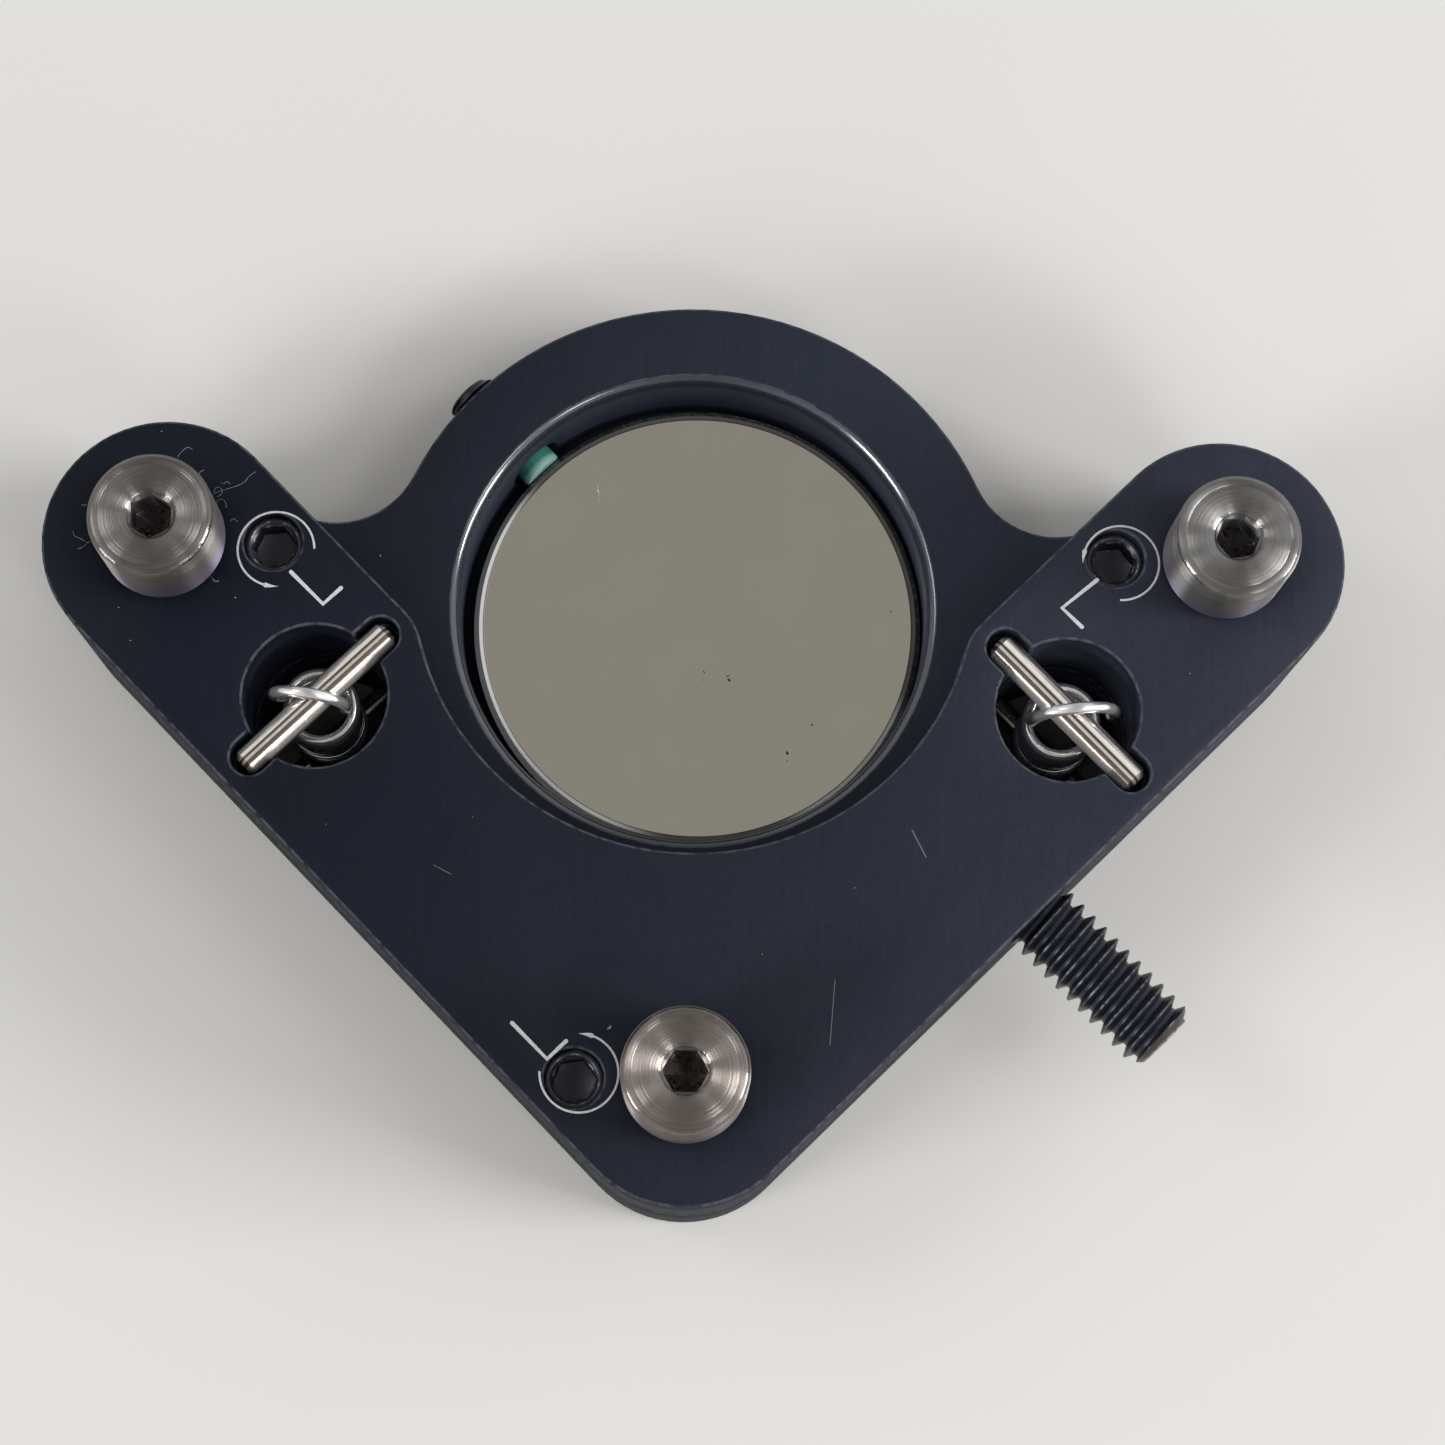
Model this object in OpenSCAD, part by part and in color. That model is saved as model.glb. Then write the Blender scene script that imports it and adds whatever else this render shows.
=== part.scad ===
// Kinematic mirror mount with three locking adjusters, for a round 38 mm mirror.
// Frame: the mirror axis is Z, the front plate's front face lies in Z = 0 and the adjusters point
// along +Z. The two arms spread to -X and +X and meet at the apex in -Y. All sizes in millimetres.

/* [Adjuster triangle] */
// Distance between the apex adjuster and each arm adjuster
leg = 60.4; // [57:0.2:70]
// Height of the two arm adjusters above the mirror axis
axis_rise = 2.1; // [0.5:0.1:4]
// Half width of the arms, also the radius of their round ends
arm_r = 9.9; // [9.3:0.1:11]

/* [Plates] */
// Thickness of the front plate
front_t = 10.4; // [9.6:0.1:14]
// Gap between the two plates with the adjusters in mid travel
plate_gap = 1.6; // [1.4:0.1:3]
// Thickness of the rear plate
rear_t = 9.5; // [9:0.1:13]
// Radius of the arc cut into the rear plate around the mirror
inner_arc_r = 22.6; // [21.5:0.1:23.5]
// Rounding where that arc meets the inner edge of an arm
corner_r = 5; // [2:0.5:8]
// Outer radius of the front plate's ring
ring_r = 26.25; // [25.5:0.05:27.5]
// Fillet between the ring and an arm
ring_fillet = 7.2; // [3:0.1:7.3]

/* [Mirror seat] */
// Diameter of the mirror
mirror_d = 38.1; // [36:0.1:38.6]
// Thickness of the mirror
mirror_t = 3.2; // [2:0.1:3.8]
// Bevel on the mirror's edges
mirror_bevel = 0.45; // [0.2:0.05:0.8]
// Radial room between the mirror and its pocket
pocket_room = 0.6; // [0.3:0.05:0.7]
// Share of that room taken up when the clamp screw pushes the mirror to the far wall
clamp_push = 0.92; // [0.5:0.01:0.95]
// Width of the chamfer on the pocket's rim
rim_chamfer = 0.6; // [0.2:0.1:1]
// Thickness of the lip in front of the mirror
lip_t = 2.2; // [1.5:0.1:3]
// Width of the lip inside the mirror's edge
lip_w = 1.25; // [0.8:0.05:2]

/* [Mirror clamp] */
// Diameter of the clamp screw
clamp_d = 4.8; // [4:0.1:5]
// Length of the clamp screw, without its tip
clamp_len = 6.4; // [5:0.1:8]
// Diameter of the plastic tip
tip_d = 3.6; // [2.5:0.1:3.9]
// Length of the plastic tip between the clamp screw and the mirror
tip_len = 3.1; // [2.4:0.1:3.6]
// Size across the flats of the clamp screw's hex socket
clamp_hex = 2.4; // [1.5:0.1:2.6]

/* [Adjusters] */
// Diameter of an adjuster's head
head_d = 10; // [9.2:0.1:11]
// Height of the head
head_h = 7.2; // [5:0.1:10]
// Width of the bevel on the head
head_bevel = 0.75; // [0.3:0.05:1.2]
// Gap between the head and the rear plate
head_gap = 0.6; // [0.55:0.05:2]
// Diameter of the threaded shank
shank_d = 6.35; // [5.5:0.05:6.6]
// Size across the flats of the adjuster's hex socket
adj_hex = 3.175; // [2.5:0.025:4]
// Depth of the adjuster's hex socket
adj_hex_depth = 3.4; // [2:0.1:4.5]
// Outer diameter of the bushing in the rear plate
bushing_d = 9; // [8.2:0.1:9.2]
// Diameter of the ball at the adjuster's tip
ball_d = 4; // [3:0.1:4.4]
// Depth of the ball below the front plate's rear face
ball_sink = 1; // [0.6:0.1:1.4]
// Diameter of the hardened seats in the front plate
seat_d = 8; // [7:0.1:9]
// Thickness of the seats
seat_t = 3; // [2.6:0.1:4]

/* [Locks] */
// Distance from an adjuster to its lock
lock_offset = 8.7; // [8.4:0.1:9.4]
// Diameter of the key hole over the lock
key_hole_d = 4.7; // [4.2:0.1:5]
// Depth from the rear face to the lock's top
lock_sink = 1.1; // [0.5:0.1:1.4]
// Size across the flats of the lock's hex socket
lock_hex = 3.175; // [2.5:0.025:3.4]
// Diameter of the bore for the lock's cam
cam_bore_d = 6.4; // [6:0.1:6.6]
// Offset of the cam from its axis
cam_offset = 0.2; // [0.1:0.05:0.25]
// Diameter of the pad that bears on the adjuster
pad_d = 2.4; // [1.6:0.1:2.8]
// Thickness of the cap under the cam
cap_t = 0.9; // [0.6:0.1:1.4]

/* [Springs] */
// Distance from an arm adjuster to the spring on that arm
spring_from_adjuster = 17.8; // [16.5:0.1:22]
// Diameter of the holes that the springs pass through
spring_hole_d = 11.6; // [9:0.1:12]
// Outer diameter of a spring
spring_d = 6.35; // [5.5:0.05:7]
// Diameter of the spring wire
wire_d = 0.9; // [0.6:0.05:1]
// Diameter of the pins that hold the springs
pin_d = 2.38; // [2:0.02:2.6]
// Length of those pins
pin_len = 15.875; // [14:0.125:16.5]
// Width of the slots for the pins
slot_w = 3.1; // [2.8:0.1:3.6]
// Room at each end of a pin
slot_end_room = 0.7; // [0.2:0.1:1]
// Depth of the slots in the rear plate
rear_slot_depth = 2.6; // [2.6:0.1:3]
// Depth of the slots in the front plate
front_slot_depth = 3.6; // [3.4:0.1:4.2]

/* [Mounting stud] */
// Diameter of the stud
stud_d = 6.35; // [5.8:0.05:6.35]
// Diameter of the stud where its thread sits in the rear plate's thread
stud_neck_d = 5.5; // [4.5:0.05:5.7]
// Length of the whole stud
stud_len = 25.4; // [20:0.2:30]
// Length that stands out of the rear plate
stud_out = 14.2; // [8:0.1:16]
// Distance along the arm from the apex adjuster to the stud
stud_from_apex = 30; // [26:0.5:34]
// Size across the flats of the stud's hex socket
stud_hex = 3.175; // [2.5:0.025:3.5]

/* [Hidden] */
$fn = 96;

// Clearances between mating pieces
press_play = 0.01;
run_play = 0.04;
seat_play = 0.08;
rest_play = 0.03;
lock_play = 0.25;
cam_play = 0.06;
cam_side_room = 0.15;
end_play = 0.05;
stud_neck_out = 0.2;

// Heights along the mirror axis
rear_z = front_t + plate_gap;
rear_face = rear_z + rear_t;
head_z = rear_face + head_gap;
head_top = head_z + head_h;
ball_z = front_t - ball_sink + ball_d / 2;
tip_z = ball_z + ball_d / 5;
seat_cone_z = ball_z - (ball_d / 2 + seat_play) * sqrt(2);
clamp_z = lip_t + clamp_d / 2 + 0.1;
pad_z = rear_z + rear_t / 2;
nose_h = 0.7;
nose_top = rear_face - lock_sink;
cam_roof_z = nose_top - nose_h;
rear_pin_z = rear_face - rear_slot_depth + pin_d / 2 + rest_play;
front_pin_z = front_slot_depth - pin_d / 2 - rest_play;

// Arm frame: X runs from the mirror axis square to the arm, Y runs along the arm away from the apex
arm_x = leg / 2 - axis_rise / sqrt(2);
arm_y = leg - arm_x;
inner_x = arm_x - arm_r;
outer_x = arm_x + arm_r;
spring_y = arm_y - spring_from_adjuster;
stud_y = stud_from_apex - arm_x;

// Radius of a lock's eccentric cam
cam_r = cam_bore_d / 2 - cam_offset - cam_side_room;

// Turns at which the hex sockets and the springs' loops came to rest
adj_turn_left = 30;
adj_turn_right = 10;
adj_turn_apex = 0;
lock_hex_turn = 8;
clamp_hex_turn = 20;
stud_hex_turn = 10;
hook_turn_left = -8;
hook_turn_right = 6;

// Places of the adjusters in the mount's own frame
half_span = leg / sqrt(2);
LEFT = [-half_span, axis_rise, 0];
RIGHT = [half_span, axis_rise, 0];
APEX = [0, axis_rise - half_span, 0];

// Mirror and its pocket
mirror_r = mirror_d / 2;
pocket_r = mirror_r + pocket_room;
window_r = mirror_r - lip_w;
push = pocket_room * clamp_push;
tip_start = mirror_r - push + rest_play;
clamp_start = tip_start + tip_len + rest_play;
CLAMP_DIR = 135;

// Spring: a coil with a full loop at each end, each loop hung over a pin
coil_r = (spring_d - wire_d) / 2;
hook_z = rear_pin_z + pin_d / 2 + wire_d / 2 + rest_play - coil_r;
hook_low_z = front_pin_z - pin_d / 2 - wire_d / 2 - rest_play + coil_r;
spring_mid = (hook_z + hook_low_z) / 2;
hook_rise = hook_z - spring_mid;
hook_leg = 1.9;
coil_rise = hook_rise - hook_leg;
coil_turns = 4.5;
coil_step = 24;
bend_angle = 26;
hook_end = 198;
WIRE_SIDES = 8;

// Places the children in the frame of one arm: side 1 is the right arm, side -1 the left arm
module on_arm(side) {
    mirror([side > 0 ? 0 : 1, 0, 0])
        rotate(-45)
            children();
}

module on_both_arms() {
    for (side = [-1, 1])
        on_arm(side) children();
}

// Hexagon given by its size across the flats
module hexagon_prism(flats, h, turn = 0) {
    rotate(turn)
        cylinder(r = flats / sqrt(3), h = h, $fn = 6);
}

// Both arms with round ends, and the square web between them
module arms_outline() {
    on_both_arms() {
        translate([inner_x, -arm_x]) square([2 * arm_r, leg]);
        translate([arm_x, -arm_x]) circle(arm_r);
        translate([arm_x, arm_y]) circle(arm_r);
    }
    rotate(-45)
        translate([0, -arm_x]) square(arm_x);
}

// Piece to cut away so that the inner arc runs into an arm's edge with a rounding
module corner_cut() {
    cx = inner_x + corner_r;
    reach = inner_arc_r + corner_r;
    cy = sqrt(reach * reach - cx * cx);
    far = 2 * corner_r;
    difference() {
        polygon([[cx, cy], [cx - far, cy], [cx - far * cx / reach, cy - far * cy / reach]]);
        translate([cx, cy]) circle(corner_r);
    }
}

module rear_outline() {
    difference() {
        arms_outline();
        circle(inner_arc_r);
        on_both_arms() corner_cut();
    }
}

// Fillet between the ring and an arm's inner edge
module ring_fillet_fill() {
    fx = inner_x - ring_fillet;
    reach = ring_r + ring_fillet;
    fy = sqrt(reach * reach - fx * fx);
    difference() {
        polygon([[0, 0], [fx, fy], [arm_x, fy], [arm_x, 0]]);
        translate([fx, fy]) circle(ring_fillet);
    }
}

// Arms, ring and fillets of the front plate, not yet bored
module front_blank() {
    linear_extrude(front_t)
        arms_outline();
    cylinder(r = ring_r, h = front_t);
    linear_extrude(front_t)
        on_both_arms() ring_fillet_fill();
}

// Round-ended slot for a spring's pin, lying along the arm frame's X
module pin_slot(depth) {
    straight = pin_len + 2 * slot_end_room - slot_w;
    linear_extrude(depth) {
        square([straight, slot_w], center = true);
        for (end = [-1, 1])
            translate([end * straight / 2, 0]) circle(slot_w / 2);
    }
}

// Stepped hole for a lock: key hole above, cam bore below, cross hole towards the adjuster
module lock_hole(at, towards) {
    translate([at[0], at[1], 0]) {
        translate([0, 0, rear_z - 1])
            cylinder(d = cam_bore_d, h = cam_roof_z - rear_z + 1);
        translate([0, 0, rear_z])
            cylinder(d = key_hole_d, h = rear_t + 1);
        translate([0, 0, pad_z])
            rotate([0, 90, towards])
                cylinder(d = pad_d + 2 * run_play, h = lock_offset);
    }
}

module rear_plate() {
    color([0.16, 0.18, 0.22])
    difference() {
        translate([0, 0, rear_z])
            linear_extrude(rear_t)
                rear_outline();
        for (at = [LEFT, RIGHT, APEX])
            translate([at[0], at[1], rear_z - 1])
                cylinder(d = bushing_d + 2 * press_play, h = rear_t + 2);
        lock_hole(LEFT + [lock_offset, 0, 0], 180);
        lock_hole(RIGHT - [lock_offset, 0, 0], 0);
        lock_hole(APEX - [lock_offset, 0, 0], 0);
        on_both_arms() {
            translate([arm_x, spring_y, rear_z - 1])
                cylinder(d = spring_hole_d, h = rear_t + 2);
            translate([arm_x, spring_y, rear_face - rear_slot_depth])
                pin_slot(rear_slot_depth + 1);
        }
        on_arm(1)
            translate([outer_x + stud_out - stud_len, stud_y, rear_z + rear_t / 2])
                rotate([0, 90, 0])
                    cylinder(d = stud_neck_d + 2 * press_play, h = stud_len);
    }
}

module front_plate() {
    seat_bore = seat_d + 2 * press_play;
    color([0.15, 0.17, 0.21])
    difference() {
        front_blank();
        translate([0, 0, -1])
            cylinder(r = window_r, h = front_t);
        translate([0, 0, lip_t])
            cylinder(r = pocket_r, h = front_t);
        translate([0, 0, front_t - rim_chamfer])
            cylinder(r1 = pocket_r, r2 = pocket_r + 2 * rim_chamfer, h = 2 * rim_chamfer);
        for (at = [LEFT, RIGHT, APEX])
            translate([at[0], at[1], front_t - seat_t])
                cylinder(d = seat_bore, h = seat_t + 1);
        on_both_arms() {
            translate([arm_x, spring_y, -1])
                cylinder(d = spring_hole_d, h = front_t + 2);
            translate([arm_x, spring_y, -1])
                pin_slot(front_slot_depth + 1);
        }
        rotate(CLAMP_DIR)
            translate([mirror_r, 0, clamp_z])
                rotate([0, 90, 0])
                    cylinder(d = clamp_d + 2 * press_play, h = ring_r);
    }
}

// Plain bushing with a cross hole that lets the lock pad through
module bushing(at, towards) {
    color([0.72, 0.6, 0.35])
    translate([at[0], at[1], 0])
        difference() {
            translate([0, 0, rear_z])
                cylinder(d = bushing_d, h = rear_t);
            translate([0, 0, rear_z - 1])
                cylinder(d = shank_d + 2 * run_play, h = rear_t + 2);
            translate([0, 0, pad_z])
                rotate([0, 90, towards])
                    cylinder(d = pad_d + 2 * run_play, h = bushing_d);
        }
}

// Adjuster: turned head with a hex socket, threaded shank and a cup for the ball
module adjuster(at, hex_turn) {
    socket_rim = adj_hex * 0.72;
    rim_depth = 0.5;
    color([0.68, 0.66, 0.63])
    translate([at[0], at[1], 0])
        difference() {
            rotate_extrude()
                polygon([[0, tip_z], [shank_d / 2 - 0.5, tip_z], [shank_d / 2, tip_z + 0.5],
                    [shank_d / 2, head_z], [head_d / 2 - 0.2, head_z], [head_d / 2, head_z + 0.2],
                    [head_d / 2, head_top - head_bevel], [head_d / 2 - head_bevel, head_top],
                    [0, head_top]]);
            translate([0, 0, head_top - adj_hex_depth])
                hexagon_prism(adj_hex, adj_hex_depth + 1, hex_turn);
            translate([0, 0, head_top - rim_depth])
                cylinder(r1 = socket_rim - rim_depth, r2 = socket_rim + rim_depth, h = 2 * rim_depth);
            translate([0, 0, ball_z])
                sphere(d = ball_d + 2 * run_play);
        }
}

module ball(at) {
    color([0.8, 0.8, 0.82])
    translate([at[0], at[1], ball_z])
        sphere(d = ball_d);
}

// Seats: each is a hardened disc let into the front plate under one adjuster's ball
module seat_blank(at) {
    translate([at[0], at[1], front_t - seat_t])
        cylinder(d = seat_d, h = seat_t);
}

module seat_cone() {
    depth = front_t + 1 - seat_cone_z;
    color([0.75, 0.75, 0.78])
    difference() {
        seat_blank(LEFT);
        translate([LEFT[0], LEFT[1], seat_cone_z])
            cylinder(r1 = 0, r2 = depth, h = depth);
    }
}

module seat_groove() {
    depth = front_t + 1 - seat_cone_z;
    color([0.75, 0.75, 0.78])
    difference() {
        seat_blank(APEX);
        translate([APEX[0], APEX[1], seat_cone_z])
            rotate([90, 0, 0])
                linear_extrude(seat_d + 2, center = true)
                    polygon([[0, 0], [depth, depth], [-depth, depth]]);
    }
}

module seat_flat() {
    recess = ball_sink + seat_play;
    color([0.75, 0.75, 0.78])
    difference() {
        seat_blank(RIGHT);
        translate([RIGHT[0], RIGHT[1], front_t - recess])
            cylinder(d = seat_d - 1.6, h = recess + 1);
    }
}

// Lock cam: a nose with a hex socket over an eccentric, turned on a journal
module lock_cam(at, towards) {
    nose_r = key_hole_d / 2 - run_play;
    journal_r = cam_bore_d / 2 - run_play;
    journal_z = rear_z + cap_t + end_play;
    cam_z = journal_z + 1.2;
    shoulder_z = cam_roof_z - end_play;
    socket_rim = lock_hex * 0.62;
    rim_depth = 0.3;
    socket_depth = 2.4;
    color([0.12, 0.12, 0.13])
    translate([at[0], at[1], 0])
        difference() {
            union() {
                translate([0, 0, journal_z])
                    cylinder(r = journal_r, h = cam_z - journal_z);
                rotate(towards - 90)
                    translate([cam_offset, 0, cam_z])
                        cylinder(r = cam_r, h = shoulder_z - cam_z);
                translate([0, 0, cam_z])
                    cylinder(r = nose_r, h = nose_top - cam_z);
            }
            translate([0, 0, nose_top - socket_depth])
                hexagon_prism(lock_hex, socket_depth + 1, lock_hex_turn);
            translate([0, 0, nose_top - rim_depth])
                cylinder(r1 = socket_rim - rim_depth, r2 = socket_rim + rim_depth, h = 2 * rim_depth);
        }
}

// Lock pad: a short pin pushed by the cam through the bushing's wall against the shank
module lock_pad(at, towards) {
    near = cam_r + cam_play;
    far = lock_offset - shank_d / 2 - lock_play;
    color([0.75, 0.62, 0.3])
    translate([at[0], at[1], pad_z])
        rotate([0, 90, towards])
            translate([0, 0, near])
                cylinder(d = pad_d, h = far - near);
}

module lock_cap(at) {
    color([0.25, 0.25, 0.27])
    translate([at[0], at[1], rear_z])
        cylinder(d = cam_bore_d - 2 * press_play, h = cap_t);
}

// Dowel pin with chamfered ends, lying square across an arm
module dowel(side, z) {
    chamfer = 0.3;
    half = pin_len / 2;
    color([0.75, 0.75, 0.77])
    on_arm(side)
        translate([arm_x, spring_y, z])
            rotate([0, 90, 0])
                rotate_extrude()
                    polygon([[0, -half], [pin_d / 2 - chamfer, -half], [pin_d / 2, chamfer - half],
                        [pin_d / 2, half - chamfer], [pin_d / 2 - chamfer, half], [0, half]]);
}

function unit(v) = v / norm(v);
function turned(p, a) = [p[0] * cos(a) - p[1] * sin(a), p[0] * sin(a) + p[1] * cos(a), p[2]];
function flipped(p) = [p[0], -p[1], -p[2]];
function bezier(a, b, c, d, t) =
    a * pow(1 - t, 3) + b * 3 * t * pow(1 - t, 2) + c * 3 * t * t * (1 - t) + d * pow(t, 3);

// Upper half of the spring's centre line: half the coil, a bend out of it, and the loop
coil_end = coil_turns * 360 - bend_angle;
function coil_point(a) = [coil_r * cos(a), coil_r * sin(a), coil_rise * a / coil_end];
function hook_point(a) = turned([coil_r * cos(a), 0, hook_rise + coil_r * sin(a)], coil_turns * 360);
bend_from = coil_point(coil_end);
bend_way = unit(coil_point(coil_end) - coil_point(coil_end - 1));
bend_pull = 1.1;
half_wire = concat(
    [for (a = [0 : coil_step : coil_end - coil_step / 2]) coil_point(a)],
    [for (t = [0 : 0.25 : 0.75]) bezier(bend_from, bend_from + bend_way * bend_pull,
        hook_point(0) - [0, 0, bend_pull], hook_point(0), t)],
    [for (a = [0 : hook_end / 9 : hook_end]) hook_point(a)]);
wire = concat([for (i = [len(half_wire) - 1 : -1 : 1]) flipped(half_wire[i])], half_wire);

// Round wire along a list of points, its section carried along without twist
module swept_wire(points, r, sides) {
    n = len(points);
    ways = [for (i = [0 : n - 1]) unit(points[min(i + 1, n - 1)] - points[max(i - 1, 0)])];
    first = unit(cross(ways[0], [0.3, 1, 0.2]));
    across = [for (i = 0, u = first; i < n; i = i + 1,
        u = i < n ? unit(u - (u * ways[i]) * ways[i]) : u) u];
    rings = [for (i = [0 : n - 1], j = [0 : sides - 1])
        points[i] + r * (cos(j * 360 / sides) * across[i] + sin(j * 360 / sides) * cross(ways[i], across[i]))];
    walls = [for (i = [0 : n - 2], j = [0 : sides - 1])
        let (k = (j + 1) % sides)
        [i * sides + k, i * sides + j, (i + 1) * sides + j, (i + 1) * sides + k]];
    start_cap = [for (j = [0 : sides - 1]) j];
    end_cap = [for (j = [sides - 1 : -1 : 0]) (n - 1) * sides + j];
    polyhedron(rings, concat(walls, [start_cap, end_cap]), convexity = 8);
}

// The loops lie close to the mount's X, so they cross the pins at about 45 degrees
module spring(side, hook_turn) {
    color([0.7, 0.7, 0.72])
    translate([side * (arm_x + spring_y) / sqrt(2), (spring_y - arm_x) / sqrt(2), spring_mid])
        rotate(hook_turn)
            swept_wire(wire, wire_d / 2, WIRE_SIDES);
}

// Mirror with bevelled edges, pushed away from the clamp screw
module mirror_disc() {
    color([0.6, 0.58, 0.52])
    rotate(CLAMP_DIR)
        translate([-push, 0, lip_t])
            rotate_extrude()
                polygon([[0, 0], [mirror_r - mirror_bevel, 0], [mirror_r, mirror_bevel],
                    [mirror_r, mirror_t - mirror_bevel], [mirror_r - mirror_bevel, mirror_t], [0, mirror_t]]);
}

// Clamp screw with a hex socket in its outer end
module clamp_screw() {
    outer = clamp_start + clamp_len;
    chamfer = 0.4;
    color([0.1, 0.1, 0.11])
    rotate(CLAMP_DIR)
        translate([0, 0, clamp_z])
            rotate([0, 90, 0])
                difference() {
                    rotate_extrude()
                        polygon([[0, clamp_start], [clamp_d / 2, clamp_start],
                            [clamp_d / 2, outer - chamfer], [clamp_d / 2 - chamfer, outer], [0, outer]]);
                    translate([0, 0, outer - clamp_len / 3])
                        hexagon_prism(clamp_hex, clamp_len, clamp_hex_turn);
                }
}

// Plastic tip between the clamp screw and the mirror's edge
module clamp_tip() {
    color([0.12, 0.45, 0.36])
    rotate(CLAMP_DIR)
        translate([tip_start, 0, clamp_z])
            rotate([0, 90, 0])
                cylinder(d = tip_d, h = tip_len);
}

// Set screw used as a stud: thinner where its thread sits in the plate, hex socket in its outer end
module mounting_stud() {
    outer = outer_x + stud_out;
    inner = outer - stud_len;
    shoulder = outer_x + stud_neck_out;
    chamfer = 0.7;
    color([0.14, 0.13, 0.13])
    on_arm(1)
        translate([0, stud_y, rear_z + rear_t / 2])
            rotate([0, 90, 0])
                difference() {
                    rotate_extrude()
                        polygon([[0, inner], [stud_neck_d / 2 - chamfer, inner],
                            [stud_neck_d / 2, inner + chamfer], [stud_neck_d / 2, shoulder],
                            [stud_d / 2, shoulder], [stud_d / 2, outer - chamfer],
                            [stud_d / 2 - chamfer, outer], [0, outer]]);
                    translate([0, 0, outer - stud_hex])
                        hexagon_prism(stud_hex, stud_hex + 1, stud_hex_turn);
                }
}

rear_plate();
bushing(LEFT, 0);  // bushing_left
bushing(RIGHT, 180);  // bushing_right
bushing(APEX, 180);  // bushing_apex
dowel(-1, rear_pin_z);  // rear_pin_left
dowel(1, rear_pin_z);  // rear_pin_right
mounting_stud();
adjuster(LEFT, adj_turn_left);  // adjuster_left
adjuster(RIGHT, adj_turn_right);  // adjuster_right
adjuster(APEX, adj_turn_apex);  // adjuster_apex
ball(LEFT);  // ball_left
ball(RIGHT);  // ball_right
ball(APEX);  // ball_apex
lock_cam(LEFT + [lock_offset, 0, 0], 180);  // lock_cam_left
lock_cam(RIGHT - [lock_offset, 0, 0], 0);  // lock_cam_right
lock_cam(APEX - [lock_offset, 0, 0], 0);  // lock_cam_apex
lock_pad(LEFT + [lock_offset, 0, 0], 180);  // lock_pad_left
lock_pad(RIGHT - [lock_offset, 0, 0], 0);  // lock_pad_right
lock_pad(APEX - [lock_offset, 0, 0], 0);  // lock_pad_apex
lock_cap(LEFT + [lock_offset, 0, 0]);  // lock_cap_left
lock_cap(RIGHT - [lock_offset, 0, 0]);  // lock_cap_right
lock_cap(APEX - [lock_offset, 0, 0]);  // lock_cap_apex
spring(-1, hook_turn_left);  // spring_left
spring(1, hook_turn_right);  // spring_right
front_plate();
seat_cone();
seat_groove();
seat_flat();
dowel(-1, front_pin_z);  // front_pin_left
dowel(1, front_pin_z);  // front_pin_right
mirror_disc();  // mirror
clamp_screw();
clamp_tip();
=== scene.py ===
"""Looks of a kinematic mirror mount: two V plates, three fine adjusters, two springs and a round mirror.

Every size in the classes is in millimetres in the mount's own frame: Z runs along the mirror's axis and
the front face lies in Z = 0. Meshes are written in metres, in place.
"""

from __future__ import annotations

import logging
import math
import random
from dataclasses import dataclass
from enum import Enum
from typing import Any, Iterable, Sequence, Union

import bmesh
import bpy
from mathutils import Matrix, Vector


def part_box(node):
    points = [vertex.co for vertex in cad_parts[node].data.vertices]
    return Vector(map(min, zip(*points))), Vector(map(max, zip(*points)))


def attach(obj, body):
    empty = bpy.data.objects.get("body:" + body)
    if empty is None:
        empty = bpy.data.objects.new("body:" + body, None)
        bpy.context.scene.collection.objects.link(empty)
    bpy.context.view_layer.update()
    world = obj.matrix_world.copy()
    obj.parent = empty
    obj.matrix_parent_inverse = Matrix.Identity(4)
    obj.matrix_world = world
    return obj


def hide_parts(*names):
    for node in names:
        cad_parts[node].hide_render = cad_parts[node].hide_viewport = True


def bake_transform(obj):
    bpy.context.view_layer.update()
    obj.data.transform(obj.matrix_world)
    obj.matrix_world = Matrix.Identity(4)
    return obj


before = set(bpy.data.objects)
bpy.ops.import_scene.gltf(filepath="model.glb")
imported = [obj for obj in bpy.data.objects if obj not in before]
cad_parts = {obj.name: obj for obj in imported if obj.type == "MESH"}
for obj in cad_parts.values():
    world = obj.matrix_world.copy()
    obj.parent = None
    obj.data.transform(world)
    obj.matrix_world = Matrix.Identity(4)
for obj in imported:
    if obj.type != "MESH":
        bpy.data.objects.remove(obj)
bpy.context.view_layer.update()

LOG = logging.getLogger("mirror_mount")
MM = 0.001
UP = (0.0, 0.0, 1.0)
HALF = math.sqrt(0.5)
LEVEL = 0.9995
REAR_FACE = 21.5
FRONT_FACE = 10.4
HEAD_TOP = 29.3
SPRING_HOLES = ((-30.12, -10.49), (30.12, -10.49))

Colour = tuple[float, float, float]
Place = tuple[float, float, float]
Spot = tuple[float, float]
Sockets = dict[Any, Any]
BMesh = bmesh.types.BMesh
Mesh = bpy.types.Mesh


def linear(*display: int) -> Colour:
    """Turns a display colour, 0 to 255 in each channel, into scene-linear values."""
    shares = [value / 255 for value in display]
    return tuple(s / 12.92 if s <= 0.04045 else ((s + 0.055) / 1.055) ** 2.4 for s in shares)


def aimed(at: Sequence[float], way: Sequence[float]) -> Matrix:
    """Matrix that stands a shape at a place with its own Z axis along a way."""
    return Matrix.Translation(at) @ Vector(way).to_track_quat("Z", "Y").to_matrix().to_4x4()


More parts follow.
